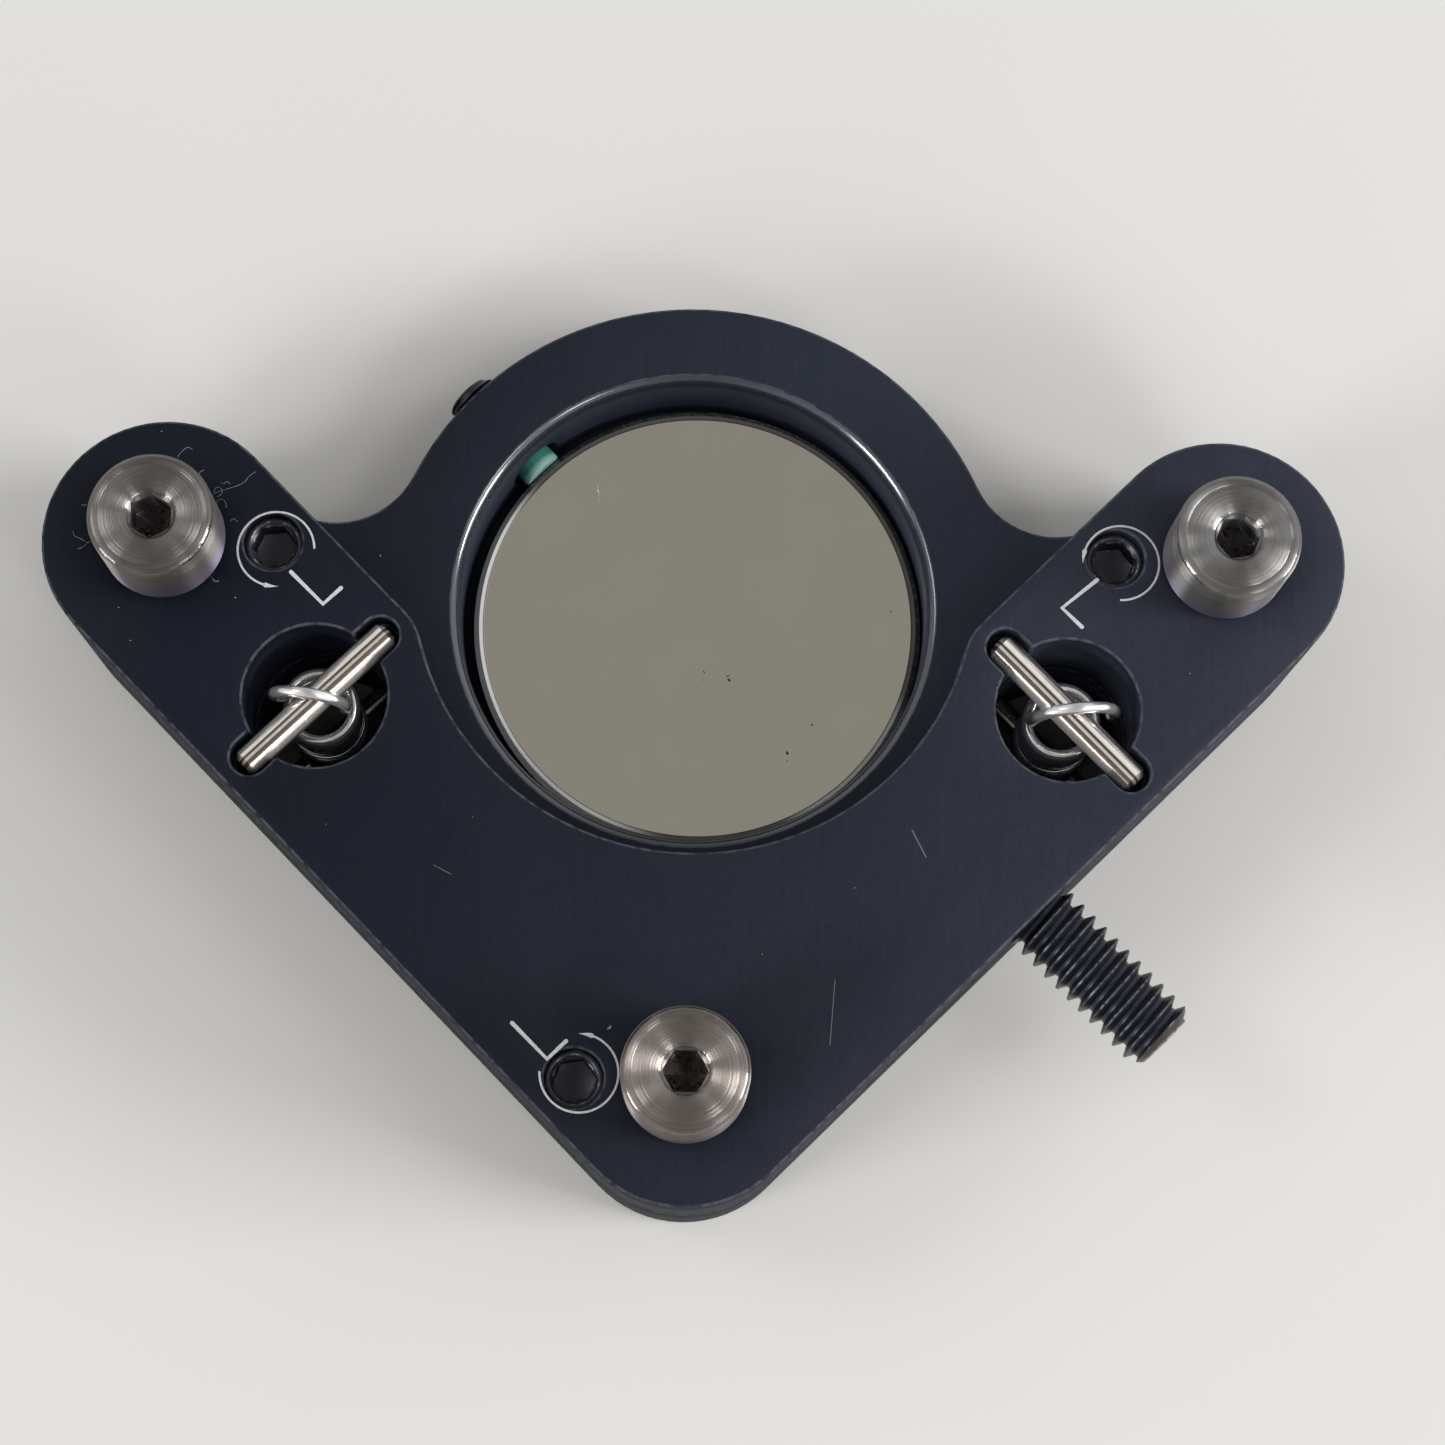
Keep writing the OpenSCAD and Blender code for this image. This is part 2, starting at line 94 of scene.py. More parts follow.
def stood(name: str, data: Any, stand: Matrix = Matrix.Identity(4)) -> bpy.types.Object:
    """Puts a new object into the scene.

    Args:
        name: Its name.
        data: Its mesh, light or camera.
        stand: Matrix that puts it in place, in metres.

    Returns:
        The object.
    """
    made = bpy.data.objects.new(name, data)
    made.matrix_world = stand
    bpy.context.scene.collection.objects.link(made)
    return made


class Side(Enum):
    """The three corners of the mount, named as seen from the adjusters' heads."""

    LEFT = "left"
    RIGHT = "right"
    APEX = "apex"


# ---------------------------------------------------------------- node boards


class Sock:
    """A node socket that takes part in arithmetic."""

    def __init__(self, board: Board, socket: Any) -> None:
        """Keeps the socket and the board that new nodes go on."""
        self.board, self.socket = board, socket

    def __add__(self, other: Value) -> Sock:
        """Sum."""
        return self.board.math("ADD", self, other)

    def __sub__(self, other: Value) -> Sock:
        """Difference."""
        return self.board.math("SUBTRACT", self, other)

    def __rsub__(self, other: Value) -> Sock:
        """Difference from a plain number."""
        return self.board.math("SUBTRACT", other, self)

    def __mul__(self, other: Value) -> Sock:
        """Product."""
        return self.board.math("MULTIPLY", self, other)

    def __truediv__(self, other: Value) -> Sock:
        """Quotient."""
        return self.board.math("DIVIDE", self, other)

    def __abs__(self) -> Sock:
        """Size without sign."""
        return self.board.math("ABSOLUTE", self)

    __radd__ = __add__

    def above(self, start: float, end: float) -> Sock:
        """Smooth step that leaves 0 at a start and reaches 1 at an end."""
        sockets = {0: self, 1: start, 2: end}
        return self.board.node("ShaderNodeMapRange", sockets, interpolation_type="SMOOTHSTEP")

    def near(self, centre: float, width: float) -> Sock:
        """Band that is 1 at its centre and 0 a width away."""
        return 1.0 - abs(self - centre).above(0.0, width)


Value = Union[Sock, float]


class Board:
    """A node tree and the one method that adds nodes to it."""

    tree: bpy.types.NodeTree

    def node(self, kind: str, sockets: Sockets | None = None, output: Any = 0, **settings: Any) -> Sock:
        """Adds a node.

        Args:
            kind: The node's type.
            sockets: Values, links or a list of links for its inputs, by name or index.
            output: The output to give back, by name or index.
            settings: Its own settings, set first.

        Returns:
            That output, empty where the node has none.
        """
        made = self.tree.nodes.new(kind)
        for key, value in settings.items():
            setattr(made, key, value)
        for key, value in (sockets or {}).items():
            for one in value if isinstance(value, list) else [value]:
                if isinstance(one, Sock):
                    self.tree.links.new(one.socket, made.inputs[key])
                else:
                    made.inputs[key].default_value = one
        return Sock(self, made.outputs[output] if made.outputs else None)

    def math(self, operation: str, *values: Value) -> Sock:
        """Math node on numbers or sockets."""
        return self.node("ShaderNodeMath", dict(enumerate(values)), operation=operation)

    def clamp(self, value: Value, low: Value, high: Value) -> Sock:
        """Keeps a value between two others."""
        return self.math("MINIMUM", self.math("MAXIMUM", value, low), high)

    def vector(self, operation: str, first: Any, second: Any = (0.0, 0.0, 0.0), output: Any = 0) -> Sock:
        """Vector Math node on two vectors, or on a vector and the scale of a scaling."""
        sockets = {0: first, "Scale" if operation == "SCALE" else 1: second}
        return self.node("ShaderNodeVectorMath", sockets, output, operation=operation)

    def split(self, vector: Sock) -> tuple[Sock, ...]:
        """The three parts of a vector."""
        parts = self.node("ShaderNodeSeparateXYZ", {0: vector}).socket.node
        return tuple(Sock(self, part) for part in parts.outputs)

    def join(self, x: Value, y: Value, z: Value) -> Sock:
        """A vector from three parts."""
        return self.node("ShaderNodeCombineXYZ", {0: x, 1: y, 2: z})

    def mix(self, share: Value, base: Any, over: Any) -> Sock:
        """Lays a share of one colour over another."""
        base, over = (colour if isinstance(colour, Sock) else (*colour, 1.0) for colour in (base, over))
        return self.node("ShaderNodeMix", {0: share, 6: base, 7: over}, 2, data_type="RGBA")


class Jig(Board):
    """A Geometry Nodes tree with named sizes, run once on a plain blank."""

    def __init__(self) -> None:
        """Starts a tree with geometry in and out and a finish, and lays it out."""
        self.tree = bpy.data.node_groups.new(type(self).__name__, "GeometryNodeTree")
        self.names: dict[str, str] = {}
        self.entry = self.tree.nodes.new("NodeGroupInput")
        self.blank = self.size("Blank", "NodeSocketGeometry")
        self.finish = self.size("Finish", "NodeSocketMaterial")
        self.tree.interface.new_socket(name="Piece", in_out="OUTPUT", socket_type="NodeSocketGeometry")
        self.lay_out()

    def lay_out(self) -> None:
        """Lays out the nodes, in each jig its own."""

    def size(self, name: str, kind: str = "NodeSocketFloat") -> Sock:
        """Adds a named input.

        Args:
            name: Its name.
            kind: Its socket type.

        Returns:
            The input as a socket.
        """
        made = self.tree.interface.new_socket(name=name, in_out="INPUT", socket_type=kind)
        self.names[name] = made.identifier
        return Sock(self, self.entry.outputs[name])

    def swell(self) -> Sock:
        """Each point's share of the full width."""
        return self.node("GeometryNodeInputNamedAttribute", {"Name": "swell"}, data_type="FLOAT")

    def path(self) -> Sock:
        """The blank's lines as curves."""
        return self.node("GeometryNodeMeshToCurve", {0: self.blank})

    def sweep(self, path: Sock, section: Sock) -> Sock:
        """Sweeps a section along a path and closes both ends."""
        sockets = {0: path, "Profile Curve": section, "Scale": self.swell(), "Fill Caps": True}
        return self.node("GeometryNodeCurveToMesh", sockets)

    def close(self, piece: Sock, smooth: bool = True) -> None:
        """Ends the tree: shading, real instances, finish.

        Args:
            piece: Geometry to hand over.
            smooth: Whether faces are shaded smooth.
        """
        shaded = self.node("GeometryNodeSetShadeSmooth", {0: piece, "Shade Smooth": smooth})
        real = self.node("GeometryNodeRealizeInstances", {0: shaded})
        dressed = self.node("GeometryNodeSetMaterial", {0: real, "Material": self.finish})
        self.node("NodeGroupOutput", {0: dressed})

    def run(self, blank: Mesh, finish: Finish, **sizes: float) -> Mesh:
        """Runs the tree on a blank and keeps the result as a plain mesh.

        Args:
            blank: Mesh that the tree starts from.
            finish: Finish of the result.
            sizes: Values of the named inputs, an underscore standing for a space.

        Returns:
            The plain mesh.
        """
        holder = stood("blank", blank)
        modifier = holder.modifiers.new("jig", "NODES")
        modifier.node_group = self.tree
        for key, value in {"Finish": finish.material, **sizes}.items():
            modifier[self.names[key.replace("_", " ")]] = value
        graph = bpy.context.evaluated_depsgraph_get()
        graph.update()
        mesh = bpy.data.meshes.new_from_object(holder.evaluated_get(graph), depsgraph=graph)
        holder.modifiers.remove(modifier)
        bpy.data.objects.remove(holder)
        return mesh


class WireJig(Jig):
    """Sweeps a round section along each line."""

    def lay_out(self) -> None:
        """Lays out the nodes."""
        sockets = {"Resolution": self.size("Sides", "NodeSocketInt"), "Radius": self.size("Radius")}
        self.close(self.sweep(self.path(), self.node("GeometryNodeCurvePrimitiveCircle", sockets)))


class StrokeJig(Jig):
    """Lays a flat stroke along each line in the plan view, with a round dot at each end."""

    dot_sides: int = 20
    dot_rise: float = 1.2

    def lay_out(self) -> None:
        """Lays out the nodes."""
        width, height, swell = self.size("Width"), self.size("Height"), self.swell()
        level = self.node("GeometryNodeSetCurveNormal", {0: self.path()}, mode="Z_UP")
        section = self.node("GeometryNodeCurvePrimitiveQuadrilateral", {"Width": width, "Height": height})
        sockets = {"Vertices": self.dot_sides, "Radius": width * 0.5, "Depth": height * self.dot_rise}
        dot = self.node("GeometryNodeMeshCylinder", sockets)
        ends = self.node("GeometryNodeCurveEndpointSelection")
        spread = {0: level, "Selection": ends, "Instance": dot, "Scale": self.join(swell, swell, 1.0)}
        dots = self.node("GeometryNodeInstanceOnPoints", spread)
        both = self.node("GeometryNodeJoinGeometry", {0: [self.sweep(level, section), dots]})
        self.close(both, smooth=False)


class SpeckJig(Jig):
    """Puts an uneven speck on each point, turned at random from a fixed seed."""

    least: Place = (0.5, 0.35, 0.3)
    most: Place = (1.6, 0.9, 0.6)
    whole_turns: Place = (6.3, 6.3, 6.3)

    def lay_out(self) -> None:
        """Lays out the nodes."""
        seed = self.size("Seed", "NodeSocketInt")
        turn, form = (
            self.node("FunctionNodeRandomValue", {0: low, 1: high, 8: seed}, data_type="FLOAT_VECTOR")
            for low, high in (((0, 0, 0), self.whole_turns), (self.least, self.most))
        )
        grain = self.node("GeometryNodeMeshIcoSphere", {"Radius": self.size("Radius"), "Subdivisions": 1})
        spread = {"Instance": grain, "Rotation": turn, "Scale": self.vector("SCALE", form, self.swell())}
        self.close(self.node("GeometryNodeInstanceOnPoints", {0: self.blank, **spread}), smooth=False)


class ThreadJig(Jig):
    """Cuts a right-hand V thread: a sheet rolled up along its own helix and welded."""

    root: float = 0.24
    flank: float = 0.64
    weld: float = 0.0002

    def lay_out(self) -> None:
        """Lays out the nodes."""
        lengths = ("Pitch", "Crest Radius", "Depth", "Length", "End Radius")
        pitch, crest, depth, length, end = (self.size(name) for name in lengths)
        numbers = ("Around", "Turns", "Rows A Turn")
        around, turns, rows = (self.size(name, "NodeSocketInt") for name in numbers)
        counts = {"Vertices X": around + 1.0, "Vertices Y": turns * rows + 1.0}
        sheet = self.node("GeometryNodeMeshGrid", {"Size X": 1.0, "Size Y": 1.0, **counts})
        x, y, _ = self.split(self.node("GeometryNodeInputPosition"))
        round_share = x + 0.5
        turn = (y + 0.5) * turns - 1.0
        height = self.clamp((turn + round_share) * pitch, 0.0, length)
        wave = abs(self.math("FRACT", turn + 1000.0) * 2.0 - 1.0)
        tooth = self.clamp((wave - self.root) / self.flank, 0.0, 1.0)
        nose = self.math("MINIMUM", end + height, end + (length - height))
        radius = self.math("MINIMUM", crest - depth * (1.0 - tooth), nose)
        angle = round_share * math.tau
        spot = self.join(self.math("COSINE", angle) * radius, self.math("SINE", angle) * radius, height)
        rolled = self.node("GeometryNodeSetPosition", {0: sheet, "Position": spot})
        self.close(self.node("GeometryNodeMergeByDistance", {0: rolled, "Distance": self.weld}))


@dataclass(frozen=True)
class Jigs:
    """One jig of each kind, laid out once."""

    wire: WireJig
    stroke: StrokeJig
    speck: SpeckJig
    thread: ThreadJig


# ---------------------------------------------------------------- finishes


@dataclass
class Finish(Board):
    """A material that paints its own node tree as soon as it is named."""

    name: str

    def __post_init__(self) -> None:
        """Starts an empty material, reads object coordinates in millimetres, and paints."""
        self.material = bpy.data.materials.new(self.name)
        self.material.use_nodes = True
        self.tree = self.material.node_tree
        self.tree.nodes.clear()
        self.at = self.vector("SCALE", self.node("ShaderNodeTexCoord", output="Object"), 1 / MM)
        self.paint()

    def paint(self) -> None:
        """Lays out the nodes, in each finish its own."""

    def attribute(self, name: str) -> Sock:
        """A number kept on the mesh."""
        return self.node("ShaderNodeAttribute", output="Fac", attribute_name=name)

    def noise(self, scale: float, detail: float = 2.0, rough: float = 0.5, at: Any = None) -> Sock:
        """Cloudy noise, 0 to 1: clouds to the millimetre, octaves, share of the finer octaves, and place."""
        sockets = {"Vector": at or self.at, "Scale": scale, "Detail": detail, "Roughness": rough}
        return self.node("ShaderNodeTexNoise", sockets)

    def lines(self, along: Sock, scale: float, detail: float = 3.0) -> Sock:
        """Noise that changes along one number only, as turned grooves do."""
        sockets = {"W": along, "Scale": scale, "Detail": detail, "Roughness": 0.6}
        return self.node("ShaderNodeTexNoise", sockets, noise_dimensions="1D")

    def shade(self, colour: Any, factor: Value) -> Sock:
        """Multiplies a colour by a number."""
        return self.vector("SCALE", colour, factor)

    def bump(self, height: Sock, distance: float, strength: float) -> Sock:
        """Normal tilted by a height, 0 to 1, over a depth in millimetres, as strongly as asked."""
        sockets = {"Height": height, "Distance": distance * MM, "Strength": strength}
        return self.node("ShaderNodeBump", sockets)

    def along(self, way: Place, start: Place = (0.0, 0.0, 0.0)) -> Sock:
        """Distance covered along a way from a start."""
        return self.vector("DOT_PRODUCT", self.vector("SUBTRACT", self.at, start), way, "Value")

    def far_from(self, point: Spot | Place, way: Place = UP) -> Sock:
        """Distance from a line through a point, which stands upright unless it has its own way."""
        arm = self.vector("SUBTRACT", self.at, (*point, 0.0)[:3])
        return self.vector("LENGTH", self.vector("CROSS_PRODUCT", arm, way), output="Value")

    def surface(self, **sockets: Any) -> None:
        """Closes the material with one Principled shader, an underscore standing for a space."""
        named = {key.replace("_", " "): value for key, value in sockets.items()}
        self.node("ShaderNodeOutputMaterial", {0: self.node("ShaderNodeBsdfPrincipled", named)})


@dataclass(frozen=True)
class Scratch:
    """A straight scratch in the plan view."""

    start: Spot
    end: Spot
    width: float = 0.06


@dataclass
class BlackAnodise(Finish):
    """Satin black anodised aluminium, faintly brushed, its broken edges paler from wear and a painted
    highlight.
    """

    # near and far: painted light, the colour darker on the left and lighter on the right as the light falls
    near: Colour = linear(19, 22, 30)
    far: Colour = linear(42, 45, 54)
    edge: Colour = linear(108, 112, 122)
    nick: Colour = linear(120, 124, 130)
    face: float = REAR_FACE
    span: Spot = (-40.0, 62.0)
    hole_r: float = 6.0
    hole_depth: float = 8.0
    bore_r: float = 0.0
    scratches: tuple[Scratch, ...] = ()

    def paint(self) -> None:
        """Lays grain, wear and scratches, painted shade and light with paler hole walls, and a sheen on the
        bore's edge.
        """
        x, y, z = self.split(self.at)
        brush = self.noise(1.0, 4.0, 0.65, self.join(x * 3.4, y * 0.16, z * 0.5))
        fine, cloud, grain = self.noise(7.0), self.noise(0.09, 3.0), self.noise(3.1, 4.0, 0.7)
        wall = 1.0 - z.above(self.face - 0.3, self.face - 0.2)
        inside: Value = 0.0
        for hole in SPRING_HOLES:
            inside = inside + (1.0 - self.far_from(hole).above(self.hole_r, self.hole_r + 0.6))
        deep = inside * (1.0 - z.above(self.face - self.hole_depth, self.face - 0.4))
        bored = 1.0 - self.far_from((0.0, 0.0)).above(self.bore_r, self.bore_r + 0.1)
        bore_fill_light = bored * (1.0 - z.above(self.face - 1.6, self.face - 0.7))
        # painted shade: the walls, hole walls too, darker than the top face
        tone = (0.5 + brush * 0.34 + cloud * 0.2 + grain * 0.46) * (1.0 - wall * 0.26)
        # painted light: the colour runs from the shaded left to the lit right
        body = self.mix(x.above(*self.span), self.near, self.far)
        # painted fill light: the walls deep in the spring holes and the bore's wall made paler
        body = self.shade(body, tone * (1.0 + deep * 5.0 + bore_fill_light))
        # the paler broken edges: partly real wear, partly a painted highlight
        wear = self.attribute("edge") * (1.0 - bored) * self.noise(1.3, 4.0).above(0.28, 0.62)
        body = self.mix(wear * 0.27, body, self.edge)
        for mark in self.scratches:
            seen = self.scratch(x, y, mark) * z.above(self.face - 0.2, self.face - 0.05)
            body = self.mix(seen * (0.35 + fine * 0.5), body, self.nick)
        self.surface(
            Base_Color=body,
            Roughness=0.36 + brush * 0.12 + fine * 0.08 + wall * 0.1,
            Specular_IOR_Level=0.06,
            Coat_Weight=bored * z.above(self.face - 0.6, self.face - 0.45),
            Coat_Roughness=0.17,
            Coat_IOR=1.8,
            Normal=self.bump(fine * 0.6 + brush * 0.4, 0.02, 0.35),
        )

    def scratch(self, x: Sock, y: Sock, mark: Scratch) -> Sock:
        """Mask of one scratch.

        Args:
            x: Place across the mount.
            y: Place up the mount.
            mark: The scratch.

        Returns:
            The mask, 1 in the middle of the scratch.
        """
        dx, dy = mark.end[0] - mark.start[0], mark.end[1] - mark.start[1]
        gap_x, gap_y = x - mark.start[0], y - mark.start[1]
        share = self.clamp((gap_x * dx + gap_y * dy) / (dx * dx + dy * dy), 0.0, 1.0)
        gap_x, gap_y = gap_x - share * dx, gap_y - share * dy
        return 1.0 - self.math("SQRT", gap_x * gap_x + gap_y * gap_y).above(mark.width * 0.3, mark.width)


@dataclass
class TurnedSteel(Finish):
    """Bare stainless steel turned about an upright axis, stained and dull in places."""

    axis: Spot
    seed: float
    colour: Colour
    stain: Colour = linear(112, 103, 94)
    heat: Colour = linear(128, 119, 160)
    dirt: Colour = linear(70, 62, 54)
    shadow: Colour = linear(48, 43, 43)
    heat_top: float = 25.2
    socket_r: Spot = (1.55, 1.86)

    def paint(self) -> None:
        """Turns grooves about the axis, lays stains, a painted plate reflection on the foot, and painted
        shade in the socket.
        """
        z, radius = self.split(self.at)[2], self.far_from(self.axis)
        travel = radius + z * 0.9 + self.seed
        coarse, fine, groove = (self.lines(travel, *scale) for scale in ((3.2, 4.0), (17.0,), (6.5, 1.0)))
        spots = self.noise(0.75, 5.0, 0.65, self.vector("ADD", self.at, (self.seed, 0.0, 0.0)))
        grime, scuff = self.noise(3.4, 4.0, 0.7), self.noise(1.6)
        side = 1.0 - z.above(HEAD_TOP - 0.08, HEAD_TOP - 0.03)
        bevel = z.near(HEAD_TOP - 0.2, 0.2)
        # painted reflection: the blue-black plate reflected as a purple-blue tint low on the head
        reflected_plate = 1.0 - z.above(self.heat_top - 2.2, self.heat_top + 0.6)
        # painted shade: the hexagon socket darkened towards its floor
        deep = (1.0 - radius.above(*self.socket_r)) * (1.0 - z.above(HEAD_TOP - 1.2, HEAD_TOP - 0.6))
        body = self.shade(self.colour, 0.64 + coarse * 0.36 + fine * 0.3)
        # painted shade: the top bevel a little darker
        body = self.shade(self.mix(spots.above(0.5, 0.72) * 0.55, body, self.stain), 1.0 - bevel * 0.1)
        # painted reflection low on the head, and painted shade that darkens the sides
        body = self.shade(self.mix(reflected_plate * 0.4, body, self.heat), 1.0 - side * 0.08)
        body = self.mix(grime.above(0.62, 0.74) * 0.4, body, self.dirt)
        self.surface(
            Base_Color=self.mix(deep * 0.9, body, self.shadow),
            Metallic=1.0,
            Roughness=0.2 + coarse * 0.1 + fine * 0.08 + side * 0.1 - bevel * 0.26,
            Anisotropic=1.0,
            Anisotropic_Rotation=0.25,
            Normal=self.bump(groove * (1.0 - deep) + bevel * scuff * 3.0, 0.024, 0.9),
        )


@dataclass
class DrawnSteel(Finish):
    """Bright round stock, streaked along its length, the streaks partly a painted reflection."""

    way: Place
    side: Place
    colour: Colour
    streak: Colour
    streaks: float
    fine: float
    roughness: float
    metallic: float

    def paint(self) -> None:
        """Draws streaks along the way, side by side across it."""
        grain = self.lines(self.along(self.side) + self.along(self.way) * 0.003, self.fine, 0.6)
        spots = self.noise(1.8, 4.0, 0.6)
        # the streaks: partly marks of the drawn stock, partly painted reflection stripes
        body = self.mix(grain.above(0.46, 0.6) * self.streaks, self.colour, self.streak)
        self.surface(
            Base_Color=self.shade(body, 0.86 + spots * 0.24),
            Metallic=self.metallic,
            Roughness=self.roughness + grain * 0.12 + spots.above(0.55, 0.7) * 0.1,
            Normal=self.bump(grain, 0.01, 0.3),
        )


@dataclass
class BlackOxide(Finish):
    """Oiled black oxide on a rod, worn to brown and bare steel on its outermost edges, partly painted
    highlight.
    """

    point: Place
    way: Place
    crest: float
    end: float
    worn: Colour = linear(158, 155, 152)
    brown: Colour = linear(62, 52, 47)
    lip_r: Spot = (1.95, 2.1)
    black: Colour = linear(36, 39, 50)
    bare: Colour = linear(150, 140, 130)

    def paint(self) -> None:
        """Wears the crests, the nose and the socket's lip; crests and lip are partly painted highlights."""
        radius, along = self.far_from(self.point, self.way), self.along(self.way, self.point)
        spots, fine = self.noise(2.2, 4.0, 0.6), self.noise(9.0, 3.0)
        # crests: partly worn bare, partly a painted highlight along them
        edge = radius.above(self.crest - 0.09, self.crest - 0.01) * spots.above(0.38, 0.62)
        nose = along.above(self.end - 1.1, self.end - 0.4) * spots.above(0.3, 0.6)
        # the socket's lip: partly worn bare, partly a painted highlight
        lip = along.near(self.end - 0.05, 0.16) * radius.above(*self.lip_r) * spots.above(0.32, 0.55)
        body = self.mix(nose * 0.8, self.shade(self.black, 0.7 + fine * 0.6), self.brown)
        body = self.mix(edge * 0.36, body, self.worn)
        self.surface(
            Base_Color=self.mix(lip * 0.8, body, self.bare),
            Metallic=0.55 + edge * 0.4,
            Roughness=0.24 + spots * 0.2 + fine * 0.06,
            Normal=self.bump(fine * 0.5 + spots * 0.5, 0.02, 0.4),
        )


@dataclass
class MirrorGlass(Finish):
    """Round glass with a metal coating on its far face, a ground edge and bevels."""

    centre: Spot
    back: float
    coated_r: float = 18.2
    flat_r: float = 18.6
    silver: tuple[Colour, Colour] = (linear(205, 201, 190), linear(198, 195, 183))
    # rim: the bare rim's dark colour, then its painted highlight colour
    rim: tuple[Colour, Colour] = (linear(70, 67, 66), linear(222, 222, 218))
    line: Colour = linear(18, 18, 19)
    ground: tuple[Colour, Colour] = (linear(84, 84, 84), linear(132, 132, 130))
    ground_pale: Colour = linear(228, 228, 224)
    first_face: Colour = linear(236, 236, 232)
    lit_ways: tuple[Spot, Spot] = ((-0.94, -0.342), (0.743, -0.669))

    def paint(self) -> None:
        """Silvers the coating, rings it with its bare rim, and grinds the edge, with a painted highlight on
        two sides.
        """
        x, y, z = self.split(self.at)
        radius = self.far_from(self.centre)
        haze, chips = self.noise(0.16, 3.0), self.noise(2.6, 4.0, 0.65)
        face = 1.0 - radius.above(self.flat_r - 0.01, self.flat_r + 0.01)
        coat = 1.0 - radius.above(self.coated_r - 0.02, self.coated_r + 0.02)
        lower = 1.0 - z.above(self.back - 0.1, self.back - 0.05)
        east, north = (x - self.centre[0]) / radius, (y - self.centre[1]) / radius
        bright, faint = (east * way[0] + north * way[1] for way in self.lit_ways)
        # painted highlight: rim and ground edge paler on the two sides facing the lamps
        pale = (bright.above(0.45, 0.75) + faint.above(0.9, 0.97) * 0.45) * 0.9
        rim = self.mix(radius.near(self.coated_r + 0.06, 0.07), self.mix(pale, *self.rim), self.line)
        ground = self.mix(pale, self.mix(chips.above(0.45, 0.7), *self.ground), self.ground_pale)
        back = self.mix(coat, rim, self.mix(haze.above(0.3, 0.75) * 0.5, *self.silver))
        self.surface(
            Base_Color=self.mix(face, ground, self.mix(lower, back, self.first_face)),
            Metallic=face * self.math("MAXIMUM", coat, lower) + (1.0 - face) * 0.5,
            Roughness=(1.0 - face) * (0.12 + chips * 0.22) + face * (0.03 + haze * 0.04),
            Normal=self.bump(chips * (1.0 - face), 0.04, 0.5),
        )


@dataclass
class GreenNylon(Finish):
    """Green plastic rod, cut roughly, paler at the cut."""

    colour: Colour = linear(47, 108, 95)
    deep: Colour = linear(24, 84, 71)
    cut: Colour = linear(134, 168, 160)

    def paint(self) -> None:
        """Clouds the green and pales the cut end."""
        cloud, fine = self.noise(1.6, 4.0, 0.6), self.noise(8.0, 3.0)
        body = self.mix(cloud.above(0.35, 0.7) * 0.5, self.colour, self.deep)
        body = self.mix(self.attribute("cut") * (0.35 + fine * 0.6), body, self.cut)
        relief = self.bump(fine * 0.4 + cloud * 0.6, 0.04, 0.5)
        self.surface(Base_Color=body, Roughness=0.36 + fine * 0.2, Normal=relief)


@dataclass
class TurnedMetal(Finish):
    """A small part turned from one metal, rubbed bare on its edges where it is worn, partly a painted glint.
    """

    colour: Colour
    roughness: float = 0.3
    metallic: float = 1.0
    relief: float = 0.01
    worn: float = 0.0
    bare: Colour = linear(176, 160, 146)

    def paint(self) -> None:
        """Lays turning marks, and wear that is partly a painted glint."""
        cloud, rings = self.noise(1.1, 4.0, 0.6), self.lines(self.split(self.at)[2], 9.0)
        body = self.shade(self.colour, 0.82 + cloud * 0.24 + rings * 0.12)
        if self.worn > 0.0:
            # worn edges: partly real wear, partly painted glints on the edges
            rubbed = self.attribute("edge") * self.noise(1.5, 4.0, 0.65).above(0.52, 0.66)
            body = self.mix(rubbed * self.worn, body, self.bare)
        self.surface(
            Base_Color=body,
            Metallic=self.metallic,
            Roughness=self.roughness - 0.06 + cloud * 0.12,
            Normal=self.bump(rings * 0.6 + cloud * 0.4, self.relief, 0.5),
        )


@dataclass
class Film(Finish):
    """Thin dry matter on a surface: printing ink, grit, dust or lint."""

    colour: Colour
    other: Colour
    grain: float
    roughness: float = 0.6

    def paint(self) -> None:
        """Clouds one colour with the other."""
        cloud = self.noise(self.grain, 4.0, 0.65)
        body = self.mix(cloud.above(0.42, 0.72), self.colour, self.other)
        self.surface(Base_Color=body, Roughness=self.roughness - 0.1 + cloud * 0.2)


@dataclass
class Paper(Finish):
    """Plain pale paper."""

    colour: Colour

    def paint(self) -> None:
        """Lays wide faint clouds."""
        body = self.mix(self.noise(0.02, 3.0), self.colour, tuple(c * 0.97 for c in self.colour))
        self.surface(Base_Color=body, Roughness=0.8, Specular_IOR_Level=0.2)


# ---------------------------------------------------------------- shapes


class RingForm(Enum):
    """How a ring of a turned skin is drawn."""

    ROUND = "round"
    HEX = "hex"
    HEX_ON_CONE = "hex on cone"


@dataclass(frozen=True)
class Ring:
    """One ring of a turned skin: a radius, or half the width over flats, at a height."""

    size: float
    height: float
    form: RingForm = RingForm.ROUND
    mouth: float = 0.0

    def point(self, angle: float) -> Place:
        """Point of the ring at an angle, a hexagon's corners lying at multiples of 60.

        Args:
            angle: Angle about the axis in degrees.

        Returns:
            The point.
        """
        radius, height = self.size, self.height
        if self.form is not RingForm.ROUND:
            radius = self.size / math.cos(math.radians(angle % 60 - 30))
        if self.form is RingForm.HEX_ON_CONE:
            height -= self.mouth - radius
        turn = math.radians(angle)
        return radius * math.cos(turn), radius * math.sin(turn), height

    def corners(self, made: BMesh, angles: Sequence[float]) -> list[Any]:
        """New corners of the ring at some angles, or its one pole where it has no size."""
        places = [self.point(angle) for angle in angles] if self.size > 0 else [(0.0, 0.0, self.height)]
        return [made.verts.new(place) for place in places]


